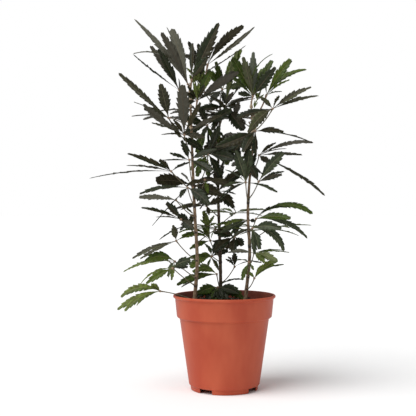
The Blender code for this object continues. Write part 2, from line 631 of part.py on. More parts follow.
def build_leaves(plans, limbs):
    """Stalks first, then each leaflet where it stays clear of everything but its own leaf."""
    placed = []
    for stem, node, hub, colour, leaflets in plans:
        stalk = petiole(STEMS[stem], node, hub)
        bead = hub_bead(hub)
        swollen = [petiole(STEMS[stem], node, hub, CLEAR), hub_bead(hub, CLEAR)]
        others = [t for leaf in placed for t in leaf["trees"]]
        own = [limbs[n] for n in limbs if n != stem] + others
        if not all(clear_of(v, f, own) for v, f in swollen) or not clear_of(*stalk, [limbs[stem]]):
            print("skipped leaf", stem, node)
            continue
        placed.append({
            "row": (stem, node, hub, colour, leaflets),
            "parts": [stalk, bead],
            "trees": [solid_tree(*stalk), solid_tree(*bead)],
        })
    skipped = 0
    for leaf in placed:
        hub, leaflets = leaf["row"][2], leaf["row"][4]
        others = [t for other in placed if other is not leaf for t in other["trees"]]
        others += list(limbs.values())
        for direction, length, normal, width, droop in leaflets:
            for turn in NUDGES:
                d = nudged(direction, turn)
                up = (normal - d * normal.dot(d)).normalized()
                if clear_of(*blade(hub, d, length, up, width, droop, CLEAR), others):
                    part = blade(hub, d, length, up, width, droop)
                    leaf["parts"].append(part)
                    leaf["trees"].append(solid_tree(*part))
                    break
            else:
                skipped += 1
    print("leaflets skipped", skipped, "placed", sum(len(leaf["parts"]) - 2 for leaf in placed))
    return placed


def centre_on_box():
    """Parents everything to an empty that puts the origin under the middle of the box."""
    graph = bpy.context.evaluated_depsgraph_get()
    corners = [o.matrix_world @ v.co for o in bpy.data.objects for v in o.evaluated_get(graph).data.vertices]
    low = [min(c[i] for c in corners) for i in range(3)]
    high = [max(c[i] for c in corners) for i in range(3)]
    plant = bpy.data.objects.new("plant", None)
    bpy.context.scene.collection.objects.link(plant)
    for obj in bpy.data.objects:
        if obj is not plant:
            obj.parent = plant
    plant.location = (-(low[0] + high[0]) / 2, -(low[1] + high[1]) / 2, -low[2])
    size = [round(high[i] - low[i], 4) for i in range(3)]
    print("box", size, "shift", [round(c, 4) for c in plant.location])


def main():
    for obj in list(bpy.data.objects):
        bpy.data.objects.remove(obj)
    pot = build_pot()
    soil = build_soil()
    bark = colour_material("stem_bark", (0.19, 0.115, 0.075), 0.8)
    limbs = {name: build_stem(name, stem, bark) for name, stem in STEMS.items()}
    for obj in (pot, soil):
        mesh = obj.data
        points = [v.co / MM for v in mesh.vertices]
        limbs[obj.name] = solid_tree(points, [tuple(p.vertices) for p in mesh.polygons])
    plans = [leaf_plan(i, row) for i, row in enumerate(LEAVES)]
    plans += [back_plan(name, k) for name in BACK_LEAVES for k in range(BACK_LEAVES[name][2])]
    materials = {c: colour_material(f"leaf_{c}", rgb, 0.5) for c, rgb in LEAF_COLOURS.items()}
    numbers = dict.fromkeys(STEMS, 0)
    for leaf in build_leaves(plans, limbs):
        stem, colour = leaf["row"][0], leaf["row"][3]
        numbers[stem] += 1
        fuse(f"leaf_{stem}_{numbers[stem]:02d}", leaf["parts"], materials[colour])
    centre_on_box()


main()
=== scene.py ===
import math
import random

import bmesh
import bpy
import numpy as np
from mathutils import Matrix, Vector, noise
from mathutils.bvhtree import BVHTree


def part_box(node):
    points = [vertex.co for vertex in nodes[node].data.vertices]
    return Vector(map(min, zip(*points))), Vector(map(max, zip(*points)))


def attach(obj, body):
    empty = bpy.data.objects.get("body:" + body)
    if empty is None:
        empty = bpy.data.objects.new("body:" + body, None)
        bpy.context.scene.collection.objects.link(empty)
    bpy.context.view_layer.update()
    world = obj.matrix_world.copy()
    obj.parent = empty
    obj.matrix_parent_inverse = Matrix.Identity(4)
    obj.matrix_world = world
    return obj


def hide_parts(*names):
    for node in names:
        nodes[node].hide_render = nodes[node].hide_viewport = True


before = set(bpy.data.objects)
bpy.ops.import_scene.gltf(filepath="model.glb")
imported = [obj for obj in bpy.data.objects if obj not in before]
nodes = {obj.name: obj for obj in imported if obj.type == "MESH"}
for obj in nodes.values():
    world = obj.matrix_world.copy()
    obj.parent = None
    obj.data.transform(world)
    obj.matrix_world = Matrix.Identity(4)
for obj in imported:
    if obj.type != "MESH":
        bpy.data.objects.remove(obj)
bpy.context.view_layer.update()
print("frame loaded,", len(nodes), "nodes")

# sizes below are in millimetres from the pot's axis, as in the part's source
mm = 0.001
gap = 0.3  # between solids that would touch
seed = 19
potLow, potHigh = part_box("pot")
potAxis = Vector(((potLow[0] + potHigh[0]) / 2, (potLow[1] + potHigh[1]) / 2, 0))


# helpers for modelling
def deselect():
    active = bpy.context.view_layer.objects.active
    if active and active.mode != "OBJECT":
        bpy.ops.object.mode_set(mode="OBJECT")
    for obj in bpy.context.selected_objects:
        obj.select_set(False)
    bpy.context.view_layer.objects.active = None


def choose(obj):
    deselect()
    obj.select_set(True)
    bpy.context.view_layer.objects.active = obj


def startEdit(obj):
    bpy.ops.object.mode_set(mode="EDIT")
    bpy.ops.mesh.select_mode(type="VERT")
    return bmesh.from_edit_mesh(obj.data)


def endEdit():
    # faces turned outwards, back to object mode
    bpy.ops.mesh.select_all(action="SELECT")
    bpy.ops.mesh.normals_make_consistent(inside=False)
    bpy.ops.object.mode_set(mode="OBJECT")


def applied(obj):
    # object mode, with place, turn and scale moved into the mesh
    choose(obj)
    bpy.ops.object.transform_apply(location=True, rotation=True, scale=True)
    return obj


def shadeByAngle(degrees):
    bpy.ops.object.shade_smooth_by_angle(angle=math.radians(degrees))


def tubeBlank(sides, cuts, top=1.0):
    # an upright tube, 1 long and 1 in radius, its long edges cut into rings
    deselect()
    bpy.ops.mesh.primitive_cone_add(vertices=sides, radius1=1, radius2=top, depth=1, location=(0, 0, 0.5))
    blank = applied(bpy.context.object)
    startEdit(blank)
    bpy.ops.mesh.select_mode(type="EDGE")
    mesh = bmesh.from_edit_mesh(blank.data)
    for edge in mesh.edges:
        edge.select = abs(edge.verts[0].co.z - edge.verts[1].co.z) > 0.5
    bmesh.update_edit_mesh(blank.data)
    bpy.ops.mesh.subdivide(number_cuts=cuts)
    bpy.ops.object.mode_set(mode="OBJECT")
    return blank


def coordsOf(obj):
    coords = np.empty(len(obj.data.vertices) * 3)
    obj.data.vertices.foreach_get("co", coords)
    return coords.reshape(-1, 3)


def copyWith(blank, name, points, materials):
    # a copy of a blank with its own mesh, its points given in millimetres from the pot's axis
    mesh = blank.data.copy()
    mesh.vertices.foreach_set("co", (points * mm + np.array(potAxis)).ravel())
    for material in materials:
        mesh.materials.append(material)
    mesh.update()
    obj = bpy.data.objects.new(name, mesh)
    bpy.context.scene.collection.objects.link(obj)
    return obj


def joined(name, pieces, slot, *replaced):
    deselect()
    for piece in pieces:
        piece.select_set(True)
    bpy.context.view_layer.objects.active = pieces[0]
    bpy.ops.object.join()
    piece = bpy.context.object
    piece.name = name
    piece.data.name = name
    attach(piece, "root")
    if replaced:
        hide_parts(*replaced)
    deselect()
    return piece


def added(tree, kind, inputs, **settings):
    # a shader node whose inputs are set to values or linked to other nodes' outputs
    node = tree.nodes.new(f"ShaderNode{kind}")
    for name, value in settings.items():
        setattr(node, name, value)
    for label, value in inputs.items():
        if isinstance(value, bpy.types.NodeSocket):
            tree.links.new(value, node.inputs[label])
        else:
            node.inputs[label].default_value = value
    return node.outputs


# camera and light: the studio shot, seen level from the front
studio = {
    "cameraPlace": (-30.3, -1580.0, 334.6), "lens": 73.6, "sensor": 36,
    "floorColour": (0.95, 0.95, 0.95), "floorSize": 60, "floorDrop": 0.0005, "floorRoughness": 0.9,
    "backdrop": 1.0, "roomLight": 0.46,
    "keyPlace": (-1000.0, -700.0, 1600.0), "keySoftness": 50.0, "keyPower": 2.6,
}


def aimed(name, data, place, target):
    obj = bpy.data.objects.new(name, data)
    bpy.context.scene.collection.objects.link(obj)
    obj.location = potAxis + Vector(place) * mm
    aim = potAxis + Vector(target) * mm - obj.location
    obj.rotation_euler = aim.to_track_quat("-Z", "Y").to_euler()
    return obj


def buildSky():
    # a white room: full white behind the plant, softer as a light
    world = bpy.data.worlds.new("studioSky")
    world.use_nodes = True
    tree = world.node_tree
    tree.nodes.clear()
    seen, cast = [added(tree, "Background", {"Color": (1, 1, 1, 1), "Strength": studio[key]})[0]
                  for key in ("backdrop", "roomLight")]
    path = added(tree, "LightPath", {})
    blend = added(tree, "MixShader", {0: path["Is Camera Ray"], 1: cast, 2: seen})
    added(tree, "OutputWorld", {"Surface": blend[0]})
    bpy.context.scene.world = world


def buildStudio():
    x, y, z = studio["cameraPlace"]
    lens = bpy.data.cameras.new("camera")
    lens.lens = studio["lens"]
    lens.sensor_width = studio["sensor"]
    bpy.context.scene.camera = aimed("camera", lens, (x, y, z), (x, 0, z))
    key = bpy.data.lights.new("keyLight", "SUN")
    key.angle = math.radians(studio["keySoftness"])
    key.energy = studio["keyPower"]
    aimed("keyLight", key, studio["keyPlace"], (0, 0, 0))
    buildSky()
    bpy.context.scene.view_settings.view_transform = "Standard"
    deselect()
    bpy.ops.mesh.primitive_plane_add(size=studio["floorSize"], location=(0, 0, -studio["floorDrop"]))
    floor = bpy.context.object
    floor.name = "studioFloor"
    paper = bpy.data.materials.new("paleFloor")
    paper.use_nodes = True
    shader = paper.node_tree.nodes["Principled BSDF"].inputs
    shader["Base Color"].default_value = (*studio["floorColour"], 1)
    shader["Roughness"].default_value = studio["floorRoughness"]
    shader["Specular IOR Level"].default_value = 0.0
    floor.data.materials.append(paper)


buildStudio()
print("studio ready")


# shader groups that several materials share
colourSocket, numberSocket, vectorSocket = "NodeSocketColor", "NodeSocketFloat", "NodeSocketVector"


def newGroup(name, inputs, outputs):
    group = bpy.data.node_groups.new(name, "ShaderNodeTree")
    for label, kind, value in inputs:
        socket = group.interface.new_socket(label, in_out="INPUT", socket_type=kind)
        socket.default_value = value
    for label, kind in outputs:
        group.interface.new_socket(label, in_out="OUTPUT", socket_type=kind)
    return group, group.nodes.new("NodeGroupInput").outputs, group.nodes.new("NodeGroupOutput").inputs


def mottleGroup():
    # two colours mixed by a stretched noise, with a value for roughness and a height for bump
    group, given, made = newGroup("mottle", (
        ("Colour", colourSocket, (0.1, 0.1, 0.1, 1)), ("Second Colour", colourSocket, (0.2, 0.2, 0.2, 1)),
        ("Stretch", vectorSocket, (1, 1, 1)), ("Scale", numberSocket, 40.0), ("Detail", numberSocket, 4.0),
        ("Low", numberSocket, 0.4), ("High", numberSocket, 0.6),
        ("Smooth", numberSocket, 0.4), ("Rough", numberSocket, 0.6)),
        (("Colour", colourSocket), ("Roughness", numberSocket), ("Height", numberSocket)))
    place = added(group, "TexCoord", {})["Object"]
    stretched = added(group, "VectorMath", {0: place, 1: given["Stretch"]}, operation="MULTIPLY")[0]
    grain = added(group, "TexNoise", {
        "Vector": stretched, "Scale": given["Scale"], "Detail": given["Detail"]})["Fac"]
    share = added(group, "MapRange", {
        "Value": grain, "From Min": given["Low"], "From Max": given["High"]})["Result"]
    blend = added(group, "Mix", {"Factor": share, "A": given["Colour"], "B": given["Second Colour"]},
                  data_type="RGBA")["Result"]
    rough = added(group, "MapRange", {
        "Value": grain, "To Min": given["Smooth"], "To Max": given["Rough"]})["Result"]
    for label, output in (("Colour", blend), ("Roughness", rough), ("Height", grain)):
        group.links.new(output, made[label])
    return group


def mottled(name, colour, second, bump=0.2, bumpDepth=0.0004, specular=0.5, **values):
    # a material whose colour, roughness and bump come from the mottle group
    material = bpy.data.materials.new(name)
    material.use_nodes = True
    material.diffuse_color = (*colour, 1)
    tree = material.node_tree
    own = {label.capitalize(): value for label, value in values.items()}
    pattern = added(tree, "Group", {"Colour": (*colour, 1), "Second Colour": (*second, 1), **own},
                    node_tree=mottle)
    relief = added(tree, "Bump", {"Strength": bump, "Distance": bumpDepth, "Height": pattern["Height"]})
    shader = tree.nodes["Principled BSDF"].inputs
    tree.links.new(pattern["Colour"], shader["Base Color"])
    tree.links.new(pattern["Roughness"], shader["Roughness"])
    tree.links.new(relief["Normal"], shader["Normal"])
    shader["Specular IOR Level"].default_value = specular
    return material


mottle = mottleGroup()

# side veins: slant towards the tip, how thin, how strongly they colour, how high they stand
veinLook = {"slant": 1.1, "thin": 0.34, "amount": 0.5, "strength": 0.4, "depth": 0.0004}


def veinGroup():
    # veins that run from the midrib to the teeth, read from the leaflet's own "veins" attribute
    group, given, made = newGroup("leafVeins", (
        ("Colour", colourSocket, (0.1, 0.1, 0.1, 1)), ("Vein Colour", colourSocket, (0.2, 0.2, 0.2, 1)),
        ("Slant", numberSocket, veinLook["slant"]), ("Thin", numberSocket, veinLook["thin"]),
        ("Amount", numberSocket, veinLook["amount"])),
        (("Colour", colourSocket), ("Height", numberSocket)))

    def maths(operation, *values):
        return added(group, "Math", dict(enumerate(values)), operation=operation)[0]

    own = added(group, "Attribute", {}, attribute_name="veins")["Vector"]
    axes = added(group, "SeparateXYZ", {0: own})
    slant = maths("MULTIPLY", maths("ABSOLUTE", axes["X"]), given["Slant"])
    wave = maths("PINGPONG", maths("SUBTRACT", axes["Y"], slant), 0.5)
    line = added(group, "MapRange", {"Value": wave, "From Min": given["Thin"], "From Max": 0.5},
                 interpolation_type="SMOOTHSTEP")["Result"]
    blend = added(group, "Mix", {"Factor": maths("MULTIPLY", line, given["Amount"]),
                                 "A": given["Colour"], "B": given["Vein Colour"]}, data_type="RGBA")["Result"]
    group.links.new(blend, made["Colour"])
    group.links.new(line, made["Height"])
    return group


veins = veinGroup()


def veined(material, veinColour, amount=veinLook["amount"]):
    # puts the veins between a material's pattern and its shader, with a second bump
    tree = material.node_tree
    shader = tree.nodes["Principled BSDF"].inputs
    before, relief = [shader[label].links[0].from_socket for label in ("Base Color", "Normal")]
    pattern = added(tree, "Group", {"Colour": before, "Vein Colour": (*veinColour, 1), "Amount": amount},
                    node_tree=veins)
    ridge = added(tree, "Bump", {"Strength": veinLook["strength"], "Distance": veinLook["depth"],
                                 "Height": pattern["Height"], "Normal": relief}, invert=True)
    tree.links.new(pattern["Colour"], shader["Base Color"])
    tree.links.new(ridge["Normal"], shader["Normal"])
    return material


# pot: thin plastic with a rolled lip, a collar and four feet
potLook = {
    "rimRadius": 95.0, "rimHeight": 174.0, "lipHeight": 4.6, "wall": 1.5,
    "collarTopRadius": 91.5, "collarLowRadius": 88.4, "collarLowHeight": 136.5,
    "stepRadius": 83.0, "stepHeight": 131.5, "stepCurve": ((2.2, 0.9), (0.5, 2.6)),
    "lipUnder": 1.6, "lipOutside": ((1.3, -0.6), (0.2, 0.4), (0.0, 1.6)),
    "lipTop": ((0.1, 1.3), (1.0, 0.2), (2.2, 0.0)), "lipInside": (0.9, 0.5),
    "baseRadius": 65.6, "baseHeight": 10.0, "footRadius": 62.0, "footHeight": 7.0, "footTaper": 0.7,
    "floorHeight": 10.5, "floorInset": 1.0, "drainRadius": 8.0,
    "notchWidth": 26.0, "notchHeight": 8.0, "notchDepth": 18.0, "notchOver": 2.0,
    "feet": 4, "firstFoot": 11.0, "steps": 128, "edgeRound": 0.35, "roundFrom": 40, "smoothTo": 32,
    "colour": (0.41, 0.063, 0.027), "paler": (0.51, 0.105, 0.048), "roughness": (0.40, 0.58),
    # inside and its paler second colour: the inner wall, darkened in its colour as painted shade
    "specular": 0.24, "inside": (0.20, 0.032, 0.012), "insideShadedPaler": (0.26, 0.055, 0.024),
}


def potProfile():
    # (radius, height) round the wall: up the outside, over the lip, down the inside, under the floor
    p = potLook
    wall, foot, floor, rim, top = p["wall"], p["footRadius"], p["floorHeight"], p["rimRadius"], p["rimHeight"]
    lip = top - p["lipHeight"]
    inwards, lower = p["lipInside"]
    return [
        (foot, 0), (foot + p["footTaper"], p["footHeight"]),
        (p["baseRadius"], p["baseHeight"]), (p["stepRadius"], p["stepHeight"]),
        *[(p["collarLowRadius"] - x, p["stepHeight"] + z) for x, z in p["stepCurve"]],
        (p["collarLowRadius"], p["collarLowHeight"]), (p["collarTopRadius"], lip - p["lipUnder"]),
        *[(rim - x, lip + z) for x, z in p["lipOutside"]], *[(rim - x, top - z) for x, z in p["lipTop"]],
        (p["collarTopRadius"] - wall + inwards, top - lower),
        (p["collarTopRadius"] - wall, lip - p["lipUnder"]),
        (p["collarLowRadius"] - wall, p["collarLowHeight"] - wall),
        (p["stepRadius"] - wall, p["stepHeight"] - wall), (p["baseRadius"] - wall, floor),
        (p["drainRadius"], floor), (p["drainRadius"], floor - wall),
        (foot - p["floorInset"], floor - wall), (foot - wall, 0),
    ]


def buildPot():
    p = potLook
    profile = potProfile()
    deselect()
    bpy.ops.mesh.primitive_circle_add(vertices=len(profile), radius=0.05)
    pot = bpy.context.object
    pot.name = pot.data.name = "nurseryPot"
    mesh = startEdit(pot)
    for vert, (radius, height) in zip(list(mesh.verts), profile):
        vert.co = Vector((radius * mm, 0, height * mm))
    bmesh.update_edit_mesh(pot.data)
    bpy.ops.mesh.select_all(action="SELECT")
    bpy.ops.mesh.spin(steps=p["steps"], angle=2 * math.pi, center=(0, 0, 0), axis=(0, 0, 1))
    bpy.ops.mesh.select_all(action="SELECT")
    bpy.ops.mesh.remove_doubles(threshold=0.00001)
    endEdit()
    cutters = []
    for k in range(p["feet"]):
        turn = math.radians(p["firstFoot"] - 90 + 360 / p["feet"] * (k + 0.5))
        deselect()
        bpy.ops.mesh.primitive_cube_add(
            size=1, rotation=(0, 0, turn),
            location=(p["footRadius"] * math.cos(turn) * mm, p["footRadius"] * math.sin(turn) * mm,
                      (p["notchHeight"] - p["notchOver"]) / 2 * mm),
            scale=(p["notchDepth"] * mm, p["notchWidth"] * mm, (p["notchHeight"] + p["notchOver"]) * mm))
        cutters.append(applied(bpy.context.object))
        cut = pot.modifiers.new("notch", "BOOLEAN")
        cut.operation = "DIFFERENCE"
        cut.object = cutters[-1]
    edge = pot.modifiers.new("edge", "BEVEL")
    edge.width = p["edgeRound"] * mm
    edge.segments = 2
    edge.limit_method = "ANGLE"
    edge.angle_limit = math.radians(p["roundFrom"])
    choose(pot)
    for modifier in list(pot.modifiers):
        bpy.ops.object.modifier_apply(modifier=modifier.name)
    for cutter in cutters:
        bpy.data.objects.remove(cutter)
    pot.location = potAxis
    applied(pot)
    shadeByAngle(p["smoothTo"])
    smooth, rough = p["roughness"]
    plastic = mottled("terracottaPlastic", p["colour"], p["paler"], bump=0.05, specular=p["specular"],
                      scale=20.0, detail=3.0, stretch=(1, 1, 0.4), low=0.38, high=0.72, smooth=smooth,
                      rough=rough)
    # the inner wall's material: both its colours are darkened as painted shade
    inside = mottled("terracottaInsidePaintedShade", p["inside"], p["insideShadedPaler"], bump=0.05, scale=30.0, detail=3.0,
                     stretch=(1, 1, 0.3), low=0.4, high=0.7, smooth=0.5, rough=0.75)
    pot.data.materials.clear()
    pot.data.materials.append(plastic)
    pot.data.materials.append(inside)
    # inner wall faces above the floor take the painted-shade material
    for face in pot.data.polygons:
        out = Vector((face.center.x - potAxis.x, face.center.y - potAxis.y, 0))
        if out.dot(face.normal) < -0.3 * out.length and face.center.z > p["floorHeight"] * mm:
            face.material_index = 1
    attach(pot, "root")
    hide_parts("pot")
    return pot


pot = buildPot()
print("pot built,", len(pot.data.polygons), "faces")


# potting soil: lumpy dark peat with crumbs, pale grit and chips of bark
soilLook = {
    "radius": 87.9, "edgeHeight": 158.0, "height": 161.0, "low": 150.0, "rings": 22, "sides": 96,
    "edgeFrom": 0.82, "edgeWidth": 0.18, "lumps": 1.8, "lumpScale": 0.09, "lumpsSunk": 0.5,
    "crumbs": 620, "crumbSizes": (0.7, 2.3), "grit": 110, "gritSizes": (0.6, 1.5), "round": (1, 1, 0.8),
    "chips": 60, "chipSizes": (1.6, 4.2), "long": (1, 0.35, 0.25), "inset": 4, "tilt": 0.5, "uneven": 0.25,
    "peat": (0.016, 0.011, 0.008), "peatDry": (0.055, 0.036, 0.022),
    "gritColour": (0.42, 0.38, 0.31), "gritShade": (0.26, 0.22, 0.17),
    "chipColour": (0.12, 0.07, 0.035), "chipShade": (0.20, 0.13, 0.07),
}


def soilHeight(x, y):
    p = soilLook
    r = math.hypot(x, y) / p["radius"]
    fall = max(0.0, (r - p["edgeFrom"]) / p["edgeWidth"])
    broad, fine = Vector((x, y, 4)) * p["lumpScale"], Vector((x, y, 9)) * p["lumpScale"] * 3
    lump = noise.noise(broad) + 0.5 * noise.noise(fine)
    return p["height"] - (p["height"] - p["edgeHeight"]) * fall + p["lumps"] * lump - p["lumpsSunk"]


def buildSoil():
    p = soilLook
    dice = random.Random(seed + 5)
    deselect()
    bpy.ops.mesh.primitive_circle_add(vertices=p["sides"], radius=p["radius"], fill_type="NGON",
                                      location=(0, 0, p["low"]))
    soil = bpy.context.object
    soil.name = soil.data.name = "peatSurface"
    startEdit(soil)
    bpy.ops.mesh.select_all(action="SELECT")
    bpy.ops.mesh.extrude_region_move(TRANSFORM_OT_translate={"value": (0, 0, p["height"] - p["low"])})
    for k in range(p["rings"]):
        bpy.ops.mesh.inset(thickness=p["radius"] / (p["rings"] + 1), depth=0)
    mesh = bmesh.from_edit_mesh(soil.data)
    for vert in mesh.verts:
        if vert.co.z > 1:
            vert.co.z = soilHeight(vert.co.x, vert.co.y) - p["low"]
    bmesh.update_edit_mesh(soil.data)
    endEdit()
    applied(soil)
    peat = mottled("darkPeat", p["peat"], p["peatDry"], bump=0.9, bumpDepth=0.0015, specular=0.25,
                   scale=520.0, detail=6.0, low=0.42, high=0.72, smooth=0.85, rough=1.0)
    grit = mottled("paleGrit", p["gritColour"], p["gritShade"], scale=300.0, smooth=0.7, rough=0.95)
    chip = mottled("barkChip", p["chipColour"], p["chipShade"], scale=300.0, smooth=0.8, rough=1.0)
    deselect()
    bpy.ops.mesh.primitive_ico_sphere_add(subdivisions=1, radius=1)
    crumb = applied(bpy.context.object)
    pieces = [copyWith(soil, "peat", coordsOf(soil), [peat])]
    bpy.data.objects.remove(soil)
    shape = coordsOf(crumb)
    kinds = [(peat, p["crumbSizes"], p["round"])] * p["crumbs"]
    kinds += [(grit, p["gritSizes"], p["round"])] * p["grit"]
    kinds += [(chip, p["chipSizes"], p["long"])] * p["chips"]
    for material, sizes, squash in kinds:
        reach = (p["radius"] - p["inset"]) * math.sqrt(dice.random())
        turn = dice.uniform(0, 2 * math.pi)
        x, y = reach * math.cos(turn), reach * math.sin(turn)
        spin = Matrix.Rotation(dice.uniform(0, 2 * math.pi), 3, "Z")
        spin = spin @ Matrix.Rotation(dice.uniform(-p["tilt"], p["tilt"]), 3, "X")
        size = dice.uniform(*sizes)
        bumpy = shape * (1 + p["uneven"] * np.array([[dice.uniform(-1, 1)] for _ in shape]))
        bumpy = bumpy * np.array(squash) * size
        points = bumpy @ np.array(spin).T + np.array((x, y, soilHeight(x, y) + 0.2 * size))
        pieces.append(copyWith(crumb, "crumb", points, [material]))
    bpy.data.objects.remove(crumb)
    return joined("pottingSoil", pieces, "dark_peat", "potting_soil")


soil = buildSoil()
print("soil built,", len(soil.data.polygons), "faces")


# the three stems: bends of the centre line, radius at the foot and at the tip, how far the bark colour is
# darkened as painted shade, where the bark turns pale
stemLook = {
    "sides": 20, "ringStep": 2.2, "sunk": 3, "overTip": 1.5, "solidRings": (5, 12), "solidStep": 32,
    "flare": 2.2, "flareHeight": 9.0, "taperPower": 1.3, "smoothTo": 60,
    "knob": 0.55, "knobHeight": 2.6, "scarHeight": 3.6, "scarWidth": 1.5, "scarUneven": 0.4, "paleUneven": 6,
    "relief": 0.16, "grainRound": 1.3, "grainRise": 0.16, "grainScale": 1.1,
    "fineScale": 3.1, "fineShare": 0.7,
    "bark": (0.116, 0.073, 0.043), "barkPale": (0.30, 0.207, 0.128), "scar": (0.030, 0.020, 0.015),
    "young": (0.20, 0.15, 0.095), "youngPale": (0.46, 0.39, 0.29),
}
stems = {
    "left": {"bends": ((-55, -30, 158), (-50, -31, 236), (-54, -30, 318), (-58, -29, 406),
                       (-61, -30, 500), (-63, -31, 548)),
             "foot": 3.4, "tip": 1.7, "barkPaintedShade": 1.0, "paleFrom": 520},
    # the middle stem's bark is darkened strongly as painted shade
    "middle": {"bends": ((-6, 42, 158), (-7, 40, 243), (-10, 40, 327), (-11, 39, 400), (-7, 40, 540)),
               "foot": 3.2, "tip": 1.6, "barkPaintedShade": 0.42, "paleFrom": 600},
    "right": {"bends": ((38, -20, 158), (46, -21, 248), (43, -20, 318), (45, -20, 373),
                        (52, -19, 455), (49, -20, 522)),
              "foot": 3.2, "tip": 1.6, "barkPaintedShade": 0.85, "paleFrom": 476},
}


def splineAt(points, height):
    last = len(points) - 1
    i = max(k for k in range(last) if points[k][2] <= height or k == 0)
    before, start = points[max(i - 1, 0)], points[i]
    end, after = points[i + 1], points[min(i + 2, last)]
    t = (height - start[2]) / (end[2] - start[2])
    place = []
    for axis in (0, 1):
        a, b, c, d = before[axis], start[axis], end[axis], after[axis]
        place.append(0.5 * (2 * b + (c - a) * t + (2 * a - 5 * b + 4 * c - d) * t * t
                            + (3 * b - a - 3 * c + d) * t ** 3))
    return Vector((place[0], place[1], height))


def stemRadius(stem, height):
    low, high = stem["bends"][0][2], stem["bends"][-1][2]
    flare = stemLook["flare"] * math.exp(-(height - low) / stemLook["flareHeight"])
    up = max(0.0, (height - low) / (high - low))
    return stem["foot"] + (stem["tip"] - stem["foot"]) * up ** stemLook["taperPower"] + flare


def stemRings(stem):
    # the rings of the solid: closer together where the foot flares
    low, high = stem["bends"][0][2] + gap, stem["bends"][-1][2]
    near, far = stemLook["solidRings"]
    steps = round((high - (low + far)) / stemLook["solidStep"])
    heights = [low, low + near, low + far]
    heights += [low + far + (high - low - far) * (k + 1) / steps for k in range(steps)]
    return [(splineAt(stem["bends"], z), stemRadius(stem, z)) for z in heights]


def stemAt(stem, height):
    rings = stemRings(stem)
    for (low, lowRadius), (high, highRadius) in zip(rings, rings[1:]):
        if height <= high.z:
            t = (height - low.z) / (high.z - low.z)
            return low.lerp(high, t), lowRadius + (highRadius - lowRadius) * t
    return rings[-1]


# leaves, by the rule of the part's source: the solids' blades, stalks and hubs decide what stays clear
leafRule = {
    "petioleRadius": 0.8, "stalkRun": 0.30, "stalkRise": 0.18, "hubRadius": 1.8, "thickness": 0.4,
    "ratio": 0.185, "narrowest": 12.0, "widest": 24.0, "fold": 0.10, "shortBlade": 62.0,
    "shortSections": ((0.58, 0.96),), "longSections": ((0.38, 0.80), (0.72, 0.94)), "neckWidth": 0.8,
    "clear": 0.1, "nudges": (0, 9, -9, 18, -18, 28, -28, 40, -40),
    "fillLength": (44, 74), "fillSwing": (40, 70), "fillSpread": 75, "fillFacing": (-50, 60),
}

